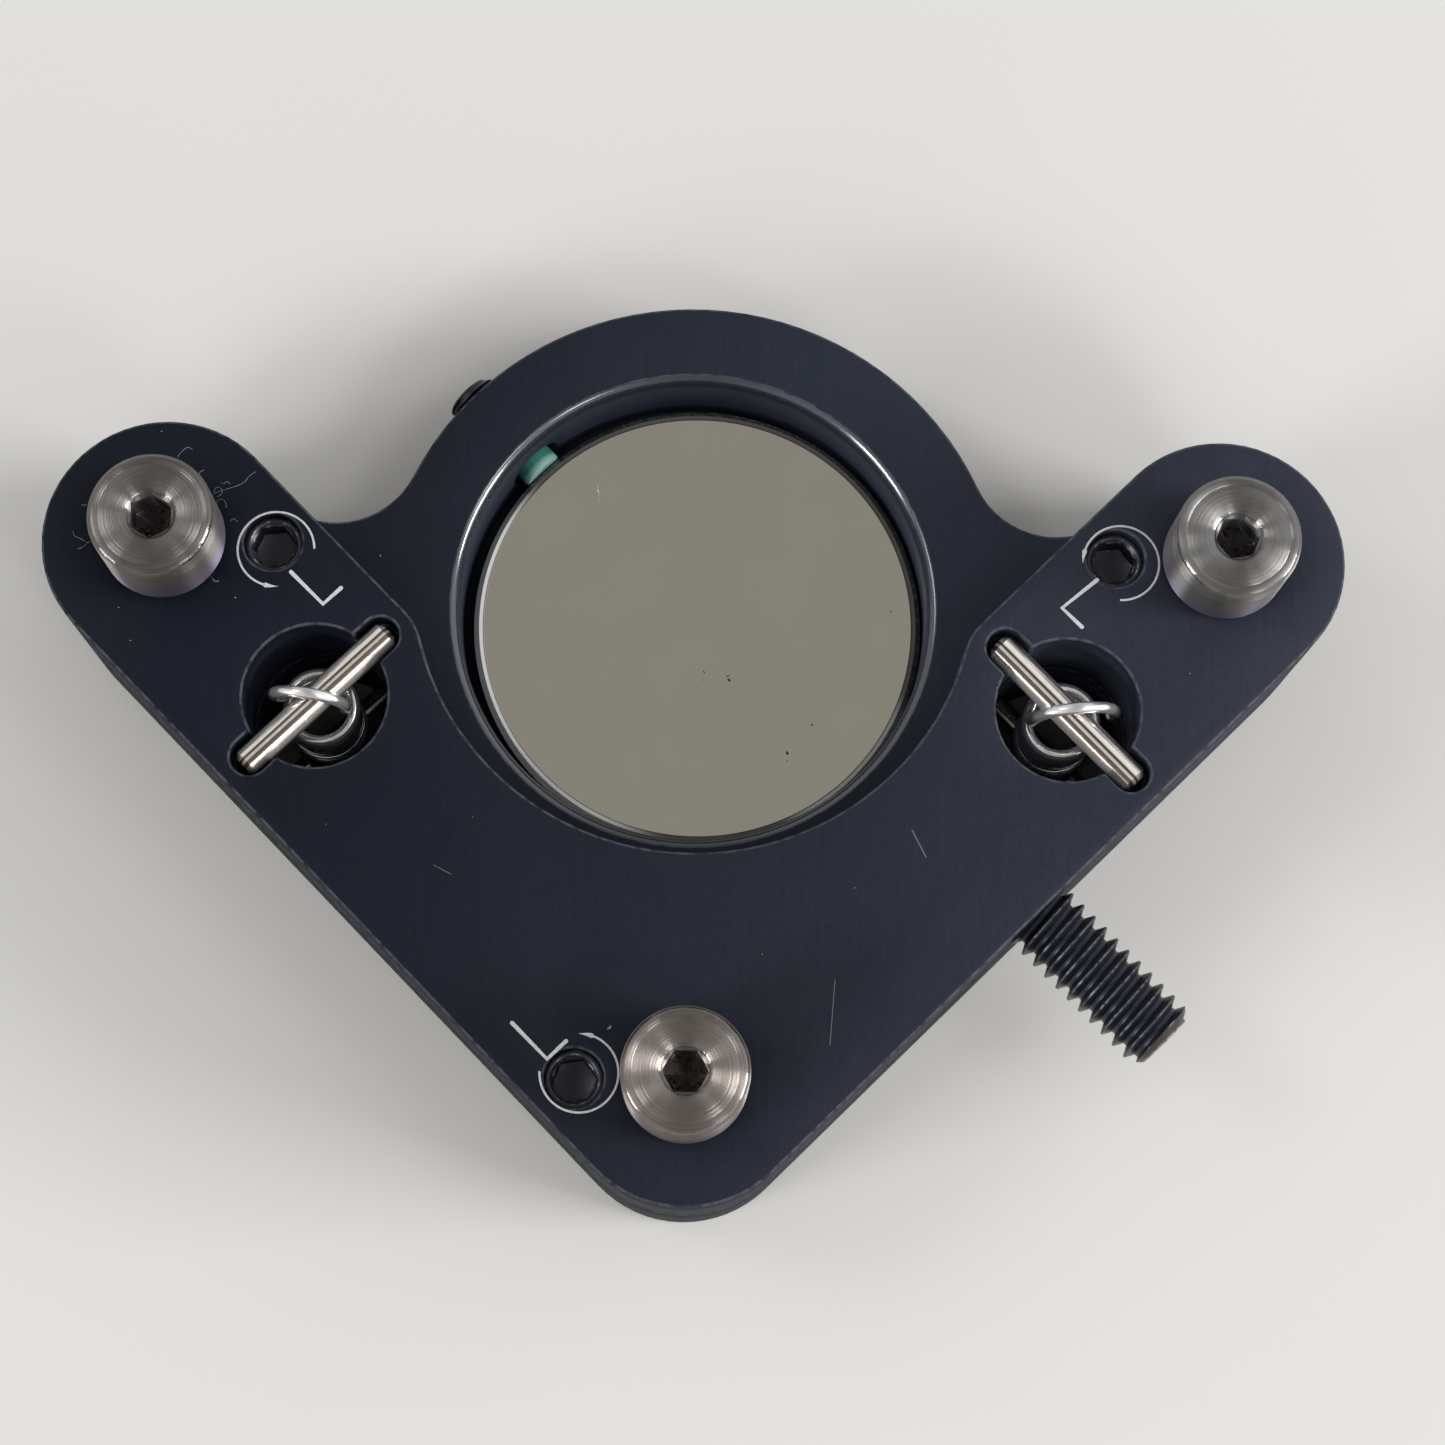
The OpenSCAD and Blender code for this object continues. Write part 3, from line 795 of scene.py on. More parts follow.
def cover(made: BMesh, loop: list[Any], rings: Iterable[Ring], angles: Sequence[float]) -> None:
    """Carries a skin on from a loop over more rings, the last one a pole.

    Args:
        made: Mesh in work.
        loop: Corners to start from, none for a new skin.
        rings: Rings that follow.
        angles: Angles of the corners in degrees.
    """
    for ring in rings:
        following = ring.corners(made, angles)
        count = max(len(loop), len(following)) if loop else 0
        low, high = (side * (count // max(len(side), 1)) for side in (loop, following))
        for k in range(count):
            n = (k + 1) % count
            made.faces.new(list(dict.fromkeys((low[k], low[n], high[n], high[k]))))
        loop = following


def finished(made: BMesh, finish: Finish, stand: Matrix = Matrix.Identity(4), smooth: float = 32.0) -> Mesh:
    """Turns work in millimetres into a mesh in metres, outward and smooth between its edges.

    Args:
        made: Mesh in work, which is freed.
        finish: Its finish.
        stand: Matrix that puts it in place.
        smooth: Angle in degrees past which an edge stays sharp.

    Returns:
        The mesh.
    """
    bmesh.ops.transform(made, matrix=stand, verts=made.verts)
    bmesh.ops.recalc_face_normals(made, faces=made.faces)
    if made.calc_volume(signed=True) < 0.0:
        bmesh.ops.reverse_faces(made, faces=made.faces)
    made.normal_update()
    for face in made.faces:
        face.smooth = abs(face.normal.z) < LEVEL
    bmesh.ops.scale(made, vec=(MM,) * 3, verts=made.verts)
    mesh = bpy.data.meshes.new("piece")
    made.to_mesh(mesh)
    made.free()
    mesh.set_sharp_from_angle(angle=math.radians(smooth))
    mesh.materials.append(finish.material)
    return mesh


def turned(rings: Iterable[Ring], finish: Finish, stand: Matrix, sides: int) -> Mesh:
    """Closed skin of rings about its own axis, from the first pole to the last.

    Args:
        rings: The rings.
        finish: Its finish.
        stand: Matrix from its own axis to the mount's frame, in millimetres.
        sides: Corners of each ring.

    Returns:
        The mesh, in place.
    """
    made = bmesh.new()
    cover(made, [], rings, [k * 360 / sides for k in range(sides)])
    return finished(made, finish, stand)


def flatten(made: BMesh, upright: float = 0.99, large: float = 1.0) -> None:
    """Lays every large level face flat, where merging left a corner a hair off.

    Args:
        made: Mesh in work, in millimetres.
        upright: How upright the normal of a level face is, 1 being straight up.
        large: Area in square millimetres from which a face is large.
    """
    made.normal_update()
    for face in made.faces:
        if abs(face.normal.z) > upright and face.calc_area() > large:
            heights = sorted(vertex.co.z for vertex in face.verts)
            for vertex in face.verts:
                vertex.co.z = heights[len(heights) // 2]


def chain(paths: Iterable[Sequence[Place]], swells: Iterable[Sequence[float]] | None = None) -> Mesh:
    """Blank of open lines or loose points in metres, each point with its share of the full width.

    Args:
        paths: Points of each line in millimetres.
        swells: Width share of each point, or none where all are 1.

    Returns:
        The blank.
    """
    verts: list[Place] = []
    edges: list[tuple[int, int]] = []
    shares: list[float] = []
    paths = list(paths)
    for path, share in zip(paths, swells or [[1.0] * len(p) for p in paths]):
        edges += [(k, k + 1) for k in range(len(verts), len(verts) + len(path) - 1)]
        verts += [tuple(v * MM for v in p) for p in path]
        shares += share
    mesh = bpy.data.meshes.new("blank")
    mesh.from_pydata(verts, edges, [])
    mesh.attributes.new("swell", "FLOAT", "POINT").data.foreach_set("value", shares)
    return mesh


def rounded(path: Sequence[Place], steps: int = 5) -> list[Place]:
    """Rounds a polyline by a spline through its points.

    Args:
        path: The points.
        steps: New points in each stretch.

    Returns:
        The rounded path.
    """
    ends = [Vector(place) for place in path]
    ends = [ends[0] * 2 - ends[1], *ends, ends[-1] * 2 - ends[-2]]
    line = []
    for k in range(len(path) - 1):
        a, b, c, d = ends[k : k + 4]
        for t in (i / steps for i in range(steps)):
            bend, twist = a * 2 - b * 5 + c * 4 - d, b * 3 - a - c * 3 + d
            line.append(tuple((b * 2 + (c - a) * t + bend * t * t + twist * t**3) * 0.5))
    return line + [tuple(path[-1])]


@dataclass(frozen=True)
class ThreadedRod:
    """A threaded length, with a plain tail inside and a hexagon socket at its outer end."""

    pitch: float
    crest: float
    depth: float
    length: float
    tail: float
    end_radius: float
    flats: float
    socket: float
    around: int = 60
    rows: int = 16
    lead: float = 0.1
    cone: float = 0.4
    weld: float = 1e-5
    reach: float = 1e-4
    smooth_angle: float = 40.0

    def skin(self, jig: ThreadJig, finish: Finish, stand: Matrix) -> Mesh:
        """Cuts the thread, closes both ends and stands the rod in place.

        Args:
            jig: The thread's tree.
            finish: The rod's finish.
            stand: Matrix from the rod's own axis to the mount's frame, in millimetres.

        Returns:
            The closed mesh.
        """
        rough = jig.run(
            bpy.data.meshes.new("sheet"),
            finish,
            Pitch=self.pitch,
            Crest_Radius=self.crest,
            Depth=self.depth,
            Length=self.length,
            End_Radius=self.end_radius,
            Around=self.around,
            Turns=math.ceil(self.length / self.pitch) + 2,
            Rows_A_Turn=self.rows,
        )
        made = bmesh.new()
        made.from_mesh(rough)
        bmesh.ops.dissolve_degenerate(made, edges=made.edges, dist=self.weld)
        flat, deep = self.flats / 2, self.length - self.socket
        mouth = flat / math.cos(math.radians(30)) + self.lead
        tail = [Ring(self.end_radius, -self.tail)] if self.tail > 0.0 else []
        hexagon = [Ring(flat, self.length, RingForm.HEX_ON_CONE, mouth), Ring(flat, deep, RingForm.HEX)]
        rims = self.rim(made, 0.0), self.rim(made, self.length)
        pole = Ring(0.0, deep - self.cone)
        covers = [*tail, Ring(0.0, -self.tail)], [Ring(mouth, self.length), *hexagon, pole]
        for rim, rings in zip(rims, covers):
            cover(made, rim, rings, [math.degrees(math.atan2(v.co.y, v.co.x)) for v in rim])
        return finished(made, finish, stand, self.smooth_angle)

    def rim(self, made: BMesh, height: float) -> list[Any]:
        """Corners of the open edge at a height, in order of angle."""
        found = [v for v in made.verts if v.is_boundary and abs(v.co.z - height) < self.reach]
        return sorted(found, key=lambda v: math.atan2(v.co.y, v.co.x) % (math.tau - self.weld))


# ---------------------------------------------------------------- sub-assemblies


@dataclass
class SubAssembly:
    """What all groups of pieces share: the jigs and the ways to place, dress and copy."""

    jigs: Jigs
    weld: float = 0.002
    flat_angle: float = 0.6
    sharp_angle: float = 38.0
    smooth_angle: float = 34.0

    def place(self, name: str, mesh: Mesh, body: str, slot: str, *nodes: str) -> bpy.types.Object:
        """Puts a finished mesh on the mount as a piece of its own.

        Args:
            name: The piece's name.
            mesh: Its mesh, in place.
            body: The body that it rides on, empty where it rides on none.
            slot: The record's material slot, not used.
            nodes: CAD nodes that it stands for.

        Returns:
            The piece.
        """
        mesh.name = name
        piece = stood(name, mesh)
        if body:
            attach(piece, body)
        if nodes:
            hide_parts(*nodes)
        LOG.info("%s rides on %s", name, body or "two bodies")
        return piece

    def dress(self, finish: Finish, *nodes: str) -> None:
        """Gives CAD nodes their finish.

        Args:
            finish: The finish.
            nodes: The nodes' names.
        """
        for node in nodes:
            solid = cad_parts[node]
            if not solid.material_slots:
                solid.data.materials.append(finish.material)
            for held in solid.material_slots:
                held.material = finish.material
            LOG.info("%s is dressed", node)

    def break_edges(self, node: str, finish: Finish, width: float, slot: str) -> None:
        """Replaces a CAD node, which has its body's name, by a copy with broken edges, marked "edge".

        Args:
            node: Name of the node and of its body.
            finish: Its finish.
            width: Width of the broken edge.
            slot: The record's material slot.
        """
        made = bmesh.new()
        made.from_mesh(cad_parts[node].data)
        bmesh.ops.scale(made, vec=(1 / MM,) * 3, verts=made.verts)
        bmesh.ops.remove_doubles(made, verts=made.verts, dist=self.weld)
        bmesh.ops.dissolve_degenerate(made, edges=made.edges, dist=self.weld / 2)
        flat = math.radians(self.flat_angle)
        bmesh.ops.dissolve_limit(made, angle_limit=flat, verts=made.verts, edges=made.edges)
        layer = made.faces.layers.float.new("edge")
        least = math.radians(self.sharp_angle)
        sharp = [e for e in made.edges if e.is_manifold and e.calc_face_angle(0.0) > least]
        shape = {"segments": 2, "profile": 0.5, "affect": "EDGES", "clamp_overlap": False}
        for face in bmesh.ops.bevel(made, geom=sharp, offset=width, **shape)["faces"]:
            face[layer] = 1.0
        flatten(made)
        bmesh.ops.triangulate(made, faces=[f for f in made.faces if len(f.verts) > 4])
        mesh = finished(made, finish, smooth=self.smooth_angle)
        self.place(f"{node}_finished", mesh, node, slot, node)


@dataclass
class Plates(SubAssembly):
    """Rear and front plate."""

    edge: float = 0.2
    bore_r: float = 20.3
    # painted light: the front plate's own shaded-left and lit-right colours
    front_near: Colour = linear(25, 28, 36)
    front_far: Colour = linear(42, 46, 56)
    scratches: tuple[Scratch, ...] = (
        Scratch((17.64, -20.47), (18.76, -22.62)),
        Scratch((11.64, -32.54), (11.30, -37.66), 0.04),
        Scratch((-20.2, -24.0), (-18.8, -24.7), 0.03),
        Scratch((-6.1, -36.7), (-5.9, -36.5), 0.12),
        Scratch((24.8, -12.2), (25.9, -11.0), 0.03),
    )

    def build(self) -> None:
        """Breaks the plates' edges and anodises them."""
        bore = {"face": FRONT_FACE, "bore_r": self.bore_r, "hole_depth": 1.0}
        rear = BlackAnodise("anodise_rear", scratches=self.scratches)
        front = BlackAnodise("anodise_front", self.front_near, self.front_far, **bore)
        self.break_edges("rear_plate", rear, self.edge, "anodised_plate")
        self.break_edges("front_plate", front, self.edge, "anodised_plate")


@dataclass(frozen=True)
class Head:
    """Where one adjuster stands, how far it is turned in degrees, and how bright its steel is: painted light
    and shade.
    """

    side: Side
    axis: Spot
    turn: float
    steel: Colour


@dataclass
class Adjusters(SubAssembly):
    """Three fine adjusters with their balls, bushings and seats."""

    # painted light and shade: one steel, lighter or darker on each head as the light falls
    heads: tuple[Head, ...] = (
        Head(Side.LEFT, (-42.709, 2.1), 30.0, linear(119, 115, 112)),
        Head(Side.RIGHT, (42.709, 2.1), 10.0, linear(129, 127, 125)),
        Head(Side.APEX, (0.0, -40.609), 0.0, linear(141, 133, 128)),
    )
    head_r: float = 5.0
    head_low: float = 22.1
    shank_r: float = 3.175
    tip: float = 12.2
    bevel: float = 0.42
    grooves: int = 6
    groove_step: float = 0.26
    ring_line: float = 4.1
    flats: float = 3.175
    socket: float = 3.4
    mouth: float = 2.12
    cone: float = 0.5
    ball_drop: float = 0.8
    ball_socket: float = 2.04
    cup_angles: tuple[float, ...] = (0.2, 0.5, 0.85, 1.168)
    sides: int = 96
    grains: int = 24
    grain_r: float = 0.2
    grit_r: float = 1.45
    grit_rise: float = 0.05
    grit_pile: float = 0.25

    def rings(self) -> list[Ring]:
        """Rings of one adjuster from the ball's socket up over the head and down its hexagon.

        Returns:
            The rings.
        """
        top, low, r, cup, flat = HEAD_TOP, self.head_low, self.head_r, self.ball_socket, self.flats / 2
        ball_z = self.tip - self.ball_drop
        line = [(0.0, ball_z + cup)]
        line += [(cup * math.sin(a), ball_z + cup * math.cos(a)) for a in self.cup_angles]
        line += [(self.shank_r - 0.5, self.tip), (self.shank_r, self.tip + 0.5), (self.shank_r, low)]
        line += [(r - 0.2, low), (r, low + 0.2)]
        edge = top - self.bevel
        for k in reversed(range(self.grooves)):
            groove = edge - 0.3 - self.groove_step * k
            line += [(r, groove - 0.04), (r - 0.06, groove), (r, groove + 0.06)]
        line += [(r, edge - 0.05), (r - 0.04, edge + 0.02)]
        line += [(r - self.bevel + 0.04, top - 0.02), (r - self.bevel - 0.04, top)]
        line += [(self.ring_line + 0.06, top), (self.ring_line, top - 0.03), (self.ring_line - 0.06, top)]
        line += [(self.mouth + 0.05, top), (self.mouth - 0.02, top - 0.04)]
        floor = top - self.socket
        rings = [Ring(*spot) for spot in line]
        rings.append(Ring(flat, top - 0.04, RingForm.HEX_ON_CONE, self.mouth - 0.02))
        return rings + [Ring(flat, floor, RingForm.HEX), Ring(0.0, floor - self.cone)]

    def debris(self, at: Spot, seed: int) -> list[Place]:
        """Places of the grit on the floor of a hexagon socket.

        Args:
            at: The adjuster's axis.
            seed: Seed of the scatter.

        Returns:
            The places.
        """
        pick = random.Random(seed)
        places = []
        for _ in range(self.grains):
            angle, far = pick.uniform(0, math.tau), self.grit_r * math.sqrt(pick.random())
            height = HEAD_TOP - self.socket + self.grit_rise + pick.random() * self.grit_pile
            places.append((at[0] + far * math.cos(angle), at[1] + far * math.sin(angle), height))
        return places

    def build(self) -> None:
        """Turns the adjusters, fills their sockets with grit and dresses what hides in the plates."""
        grit = Film("socket_grit", linear(48, 42, 42), linear(96, 84, 76), grain=2.0)
        bronze = TurnedMetal("bushing_bronze", linear(176, 142, 88))
        polish = TurnedMetal("ball_polish", linear(226, 226, 228), roughness=0.1, relief=0.002)
        for head in self.heads:
            name, seed = head.side.value, len(head.side.value)
            steel = TurnedSteel(f"head_steel_{name}", head.axis, 3.7 * seed, head.steel)
            turn = Matrix.Rotation(math.radians(head.turn), 4, "Z")
            stand = Matrix.Translation((*head.axis, 0.0)) @ turn
            node = f"adjuster_{name}"
            mesh = turned(self.rings(), steel, stand, self.sides)
            self.place(f"{node}_turned", mesh, node, "adjuster_steel", node)
            blank = chain([place] for place in self.debris(head.axis, seed))
            dirt = self.jigs.speck.run(blank, grit, Radius=self.grain_r * MM, Seed=seed)
            self.place(f"socket_grit_{name}", dirt, node, "adjuster_steel")
            self.dress(bronze, f"bushing_{name}")
            self.dress(polish, f"ball_{name}")
        seat = TurnedMetal("seat_steel", linear(184, 184, 188), roughness=0.22)
        self.dress(seat, "seat_cone", "seat_groove", "seat_flat")


@dataclass
class Locks(SubAssembly):
    """The three locks: cams in their key holes, pads, caps and the printed marks round them."""

    stroke: float = 0.165
    letter: float = 0.33
    ink_height: float = 0.03
    cam_edge: float = 0.07
    arc_r: float = 3.08
    sweep: float = 272.0
    arrow_angle: float = 20.0
    arrow_width: float = 2.5
    arrow_tip: float = 0.12
    arc_steps: int = 72
    arcs: tuple[tuple[Spot, float], ...] = (
        ((-33.72, 1.48), 3.0),
        ((34.43, 1.72), -90.6),
        ((-8.29, -40.21), 179.6),
    )
    letters: tuple[tuple[Spot, Spot, Spot], ...] = (
        ((-32.43, -0.40), (-29.76, -2.99), (-28.37, -1.64)),
        ((32.48, 0.27), (29.64, -2.11), (31.24, -3.65)),
        ((-13.62, -36.39), (-10.81, -39.16), (-9.36, -37.73)),
    )

    def arrow(self, centre: Spot, start: float) -> tuple[list[Place], list[float]]:
        """Arc about a key hole that ends in a slender arrowhead.

        Args:
            centre: The arc's centre.
            start: Angle at which it starts, in degrees.

        Returns:
            Its points and their width shares.
        """
        path, shares = [], []
        for share in (k / self.arc_steps for k in range(self.arc_steps + 1)):
            angle = math.radians(start + self.sweep * share)
            left = self.sweep * (1 - share)
            x, y = centre[0] + self.arc_r * math.cos(angle), centre[1] + self.arc_r * math.sin(angle)
            path.append((x, y, REAR_FACE))
            slender = max(self.arrow_tip, self.arrow_width * left / self.arrow_angle)
            shares.append(1.0 if left > self.arrow_angle else slender)
        return path, shares

    def build(self) -> None:
        """Prints the marks and dresses the locks."""
        ink = Film("white_print", linear(176, 176, 176), linear(150, 151, 153), grain=5.0)
        arrows = [self.arrow(*arc) for arc in self.arcs]
        corners = [[(*spot, REAR_FACE) for spot in letter] for letter in self.letters]
        for name, blank, width in (
            ("lock_arrows", chain(*zip(*arrows)), self.stroke),
            ("lock_letters", chain(corners), self.letter),
        ):
            mesh = self.jigs.stroke.run(blank, ink, Width=width * MM, Height=self.ink_height * MM)
            self.place(name, mesh, "rear_plate", "anodised_plate")
        black = TurnedMetal("lock_black", linear(34, 36, 44), roughness=0.34, metallic=0.35, worn=0.45)
        bronze = TurnedMetal("pad_bronze", linear(172, 138, 86), roughness=0.34)
        cap = TurnedMetal("cap_black", linear(58, 58, 62), roughness=0.42, metallic=0.7)
        for side in Side:
            self.break_edges(f"lock_cam_{side.value}", black, self.cam_edge, "black_steel")
            self.dress(bronze, f"lock_pad_{side.value}")
            self.dress(cap, f"lock_cap_{side.value}")


@dataclass(frozen=True)
class Spring:
    """One spring: side, hole, slope of its pins, and its loops' radius, side shift and turn in degrees."""

    side: Side
    at: Spot
    slope: int
    hook_r: float
    shift: float
    turn: float
    mid: float = 11.25
    wire_r: float = 0.47
    coil_r: float = 2.725
    coil_rise: float = 5.915
    coil_steps: int = 216
    turns: float = 4.5
    bend_angle: float = 26.0
    bend_pull: float = 1.1
    bend_steps: int = 12
    hang: float = 10.133
    hook_end: float = 198.0
    hook_steps: int = 30

    def coil_point(self, angle: float) -> Vector:
        """Point of the coil's upper half at an angle in degrees."""
        r, turn, end = self.coil_r, math.radians(angle), self.turns * 360 - self.bend_angle
        return Vector((r * math.cos(turn), r * math.sin(turn), self.coil_rise * angle / end))

    def hook_point(self, angle: float) -> Vector:
        """Point of the upper loop, which is set sideways and hangs on the pin.

        Args:
            angle: Angle round the loop in degrees.

        Returns:
            The point.
        """
        turn, r, shift = math.radians(angle), self.hook_r, self.shift
        rise = self.hang - math.sqrt((r - self.wire_r) ** 2 - shift**2)
        flat = Vector((shift + r * math.cos(turn), 0.0, rise + r * math.sin(turn)))
        return Matrix.Rotation(math.radians(self.turns * 360), 3, "Z") @ flat

    def half(self) -> list[Vector]:
        """Centre line of the upper half: half the coil, the bend out of it, and the loop.

        Returns:
            The points.
        """
        end = self.turns * 360 - self.bend_angle
        line = [self.coil_point(end * k / self.coil_steps) for k in range(self.coil_steps)]
        way = (self.coil_point(end) - self.coil_point(end - 1)).normalized()
        a, d = self.coil_point(end), self.hook_point(0.0)
        b, c = a + way * self.bend_pull, d - Vector((0, 0, self.bend_pull))
        for t in (k / self.bend_steps for k in range(self.bend_steps)):
            line.append(a * (1 - t) ** 3 + b * 3 * t * (1 - t) ** 2 + c * 3 * t * t * (1 - t) + d * t**3)
        steps = self.hook_steps
        return line + [self.hook_point(self.hook_end * k / steps) for k in range(steps + 1)]

    def line(self) -> list[Place]:
        """Whole centre line in place, from the lower loop's end to the upper loop's.

        Returns:
            The points.
        """
        upper = self.half()
        lower = [Vector((p.x, -p.y, -p.z)) for p in upper[:0:-1]]
        turn = Matrix.Rotation(math.radians(self.turn), 3, "Z")
        at = Vector((*self.at, self.mid))
        return [tuple(turn @ p + at) for p in lower + upper]


@dataclass(frozen=True)
class Stretch:
    """One length of a spring: its name, the bodies above and below it, and its top and bottom heights."""

    part: str
    above: str
    below: str
    top: float
    bottom: float


@dataclass
class Springs(SubAssembly):
    """Two extension springs, each hung over two dowel pins."""

    springs: tuple[Spring, ...] = (
        Spring(Side.LEFT, SPRING_HOLES[0], 1, 2.95, 0.65, -8.0),
        Spring(Side.RIGHT, SPRING_HOLES[1], -1, 3.25, -0.85, 6.0),
    )
    wire_sides: int = 16
    cuts: tuple[float, float] = (13.22, 9.28)
    stretches: tuple[Stretch, ...] = (
        Stretch("upper", "rear_plate", "spring_right", 21.5, 13.8),
        Stretch("middle", "spring_right", "spring_left", 12.7, 9.8),
        Stretch("lower", "spring_left", "front_plate", 8.7, 0.9),
    )
    pin_length: float = 15.875
    pin_r: float = 1.19
    pin_chamfer: float = 0.42
    pin_edge: float = 0.03
    pin_sides: int = 48

    def build(self) -> None:
        """Winds the springs and turns their pins."""
        # the brown second colour: streaks that are partly painted reflection
        colours = linear(226, 221, 214), linear(84, 68, 56)
        look = {"streaks": 0.95, "fine": 2.2, "roughness": 0.15, "metallic": 0.78}
        for spring in self.springs:
            self.wind(spring)
            name, lean = spring.side.value, spring.slope * HALF
            way, over = (HALF, lean, 0.0), (-lean, HALF, 0.0)
            steel = DrawnSteel(f"pin_steel_{name}", way, over, *colours, **look)
            for plate in ("rear", "front"):
                self.pin(f"{plate}_pin_{name}", way, steel, f"{plate}_plate")

    def wind(self, spring: Spring) -> None:
        """Winds one spring in three lengths.

        Args:
            spring: The spring.
        """
        name, wire = f"spring_{spring.side.value}", f"spring_wire_{spring.side.value}"
        colours = linear(222, 221, 220), linear(134, 118, 100)
        look = {"streaks": 0.12, "fine": 0.3, "roughness": 0.12, "metallic": 0.85}
        steel = DrawnSteel(wire, UP, (1.0, 0.0, 0.0), *colours, **look)
        sizes = {"Radius": spring.wire_r * MM, "Sides": self.wire_sides}
        line = spring.line()
        tall, short = (min(range(len(line)), key=lambda k: abs(line[k][2] - cut)) for cut in self.cuts)
        x, y = line[len(line) // 2][:2]
        lengths = (line[tall - 1 :], line[short - 1 : tall + 1], line[: short + 1])
        for stretch, length in zip(self.stretches, lengths):
            mesh = self.jigs.wire.run(chain([length]), steel, **sizes)
            nodes = (name,) if stretch.part == "upper" else ()
            piece = self.place(f"{name}_{stretch.part}", mesh, "", "spring_wire", *nodes)
            top, bottom = ((x * MM, y * MM, height * MM) for height in (stretch.top, stretch.bottom))
            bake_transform(piece)

    def pin(self, node: str, way: Place, finish: Finish, body: str) -> None:
        """Turns one dowel pin with chamfered ends.

        Args:
            node: The CAD node whose place it takes.
            way: Direction of its length.
            finish: Its finish.
            body: The body that it rides on.
        """
        low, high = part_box(node)
        at = (Vector(low) + Vector(high)) / (2 * MM)
        half, r, cut, edge = self.pin_length / 2, self.pin_r, self.pin_chamfer, self.pin_edge
        upper = [(r, half - cut), (r - edge, half - cut + edge)]
        upper += [(r - cut, half - edge / 2), (r - cut - edge, half)]
        lower = [(size, -height) for size, height in reversed(upper)]
        rings = [Ring(*spot) for spot in ((0.0, -half), *lower, *upper, (0.0, half))]
        mesh = turned(rings, finish, aimed(at, way), self.pin_sides)
        self.place(f"{node}_turned", mesh, body, "pin_steel", node)


@dataclass
class Hardware(SubAssembly):
    """Mounting stud and clamp screw with its tip."""

    stud_level: float = 16.75
    stud_y: float = 1.285
    stud_inside: float = 0.6
    plate_side: float = 38.615
    stud_out: float = 14.2
    clamp_level: float = 4.7
    clamp_start: float = 21.658
    clamp_length: float = 6.4
    # the clamp's worn colour, partly a painted highlight
    clamp_worn: Colour = linear(110, 108, 106)
    clamp_brown: Colour = linear(58, 54, 52)
    tip_start: float = 18.528
    tip_length: float = 3.1
    tip_r: float = 1.8
    tip_cut: float = 0.45
    tip_sides: int = 48

    def build(self) -> None:
        """Cuts the stud, 20 threads to the inch, and the clamp screw, 32, and shapes the plastic tip."""
        start, length = self.plate_side - self.stud_inside, self.stud_out + self.stud_inside
        at = ((start + self.stud_y) * HALF, (self.stud_y - start) * HALF, self.stud_level)
        ends = {"tail": 10.4, "end_radius": 2.33, "flats": 3.175, "socket": 3.2}
        rod = ThreadedRod(pitch=1.27, crest=3.175, depth=0.775, length=length, **ends)
        black = BlackOxide("stud_black", at, (HALF, -HALF, 0.0), rod.crest, rod.length)
        self.screw("mounting_stud", rod, black, "rear_plate")
        way, colours = (-HALF, HALF, 0.0), (self.clamp_worn, self.clamp_brown)
        at = (-HALF * self.clamp_start, HALF * self.clamp_start, self.clamp_level)
        ends = {"tail": 0.0, "end_radius": 1.9, "flats": 2.4, "socket": 2.1}
        rod = ThreadedRod(pitch=0.79375, crest=2.4, depth=0.48, length=self.clamp_length, **ends)
        black = BlackOxide("clamp_black", at, way, rod.crest, rod.length, *colours)
        self.screw("clamp_screw", rod, black, "clamp_screw")
        self.tip(way)

    def screw(self, node: str, rod: ThreadedRod, black: BlackOxide, body: str) -> None:
        """Cuts a threaded rod in place of a CAD node, where the rod's finish says that it starts."""
        mesh = rod.skin(self.jigs.thread, black, aimed(black.point, black.way))
        self.place(f"{node}_threaded", mesh, body, "black_steel", node)

    def tip(self, way: Place) -> None:
        """Shapes the plastic tip, its end cut roughly and marked "cut".

        Args:
            way: Direction from the tip to the screw.
        """
        r, length = self.tip_r, self.tip_length
        line = [(0.0, 0.05), (0.9, 0.03), (r - 0.25, 0.02), (r - 0.05, 0.1), (r, 0.3), (r, 0.7)]
        line += [(r, length - 0.15), (r - 0.15, length), (0.0, length)]
        at = (-HALF * self.tip_start, HALF * self.tip_start, self.clamp_level)
        rings = [Ring(*spot) for spot in line]
        mesh = turned(rings, GreenNylon("tip_green"), aimed(at, way), self.tip_sides)
        cut = mesh.attributes.new("cut", "FLOAT", "POINT")
        for mark, vertex in zip(cut.data, mesh.vertices):
            depth = (vertex.co / MM - Vector(at)).dot(Vector(way))
            mark.value = 1.0 if depth < self.tip_cut else 0.0
        self.place("clamp_tip_cut", mesh, "clamp_tip", "tip_plastic", "clamp_tip")


@dataclass(frozen=True)
class Litter:
    """Specks or hairs of one kind: a piece's name, its body and slot, and its size."""

    name: str
    body: str
    slot: str
    size: float


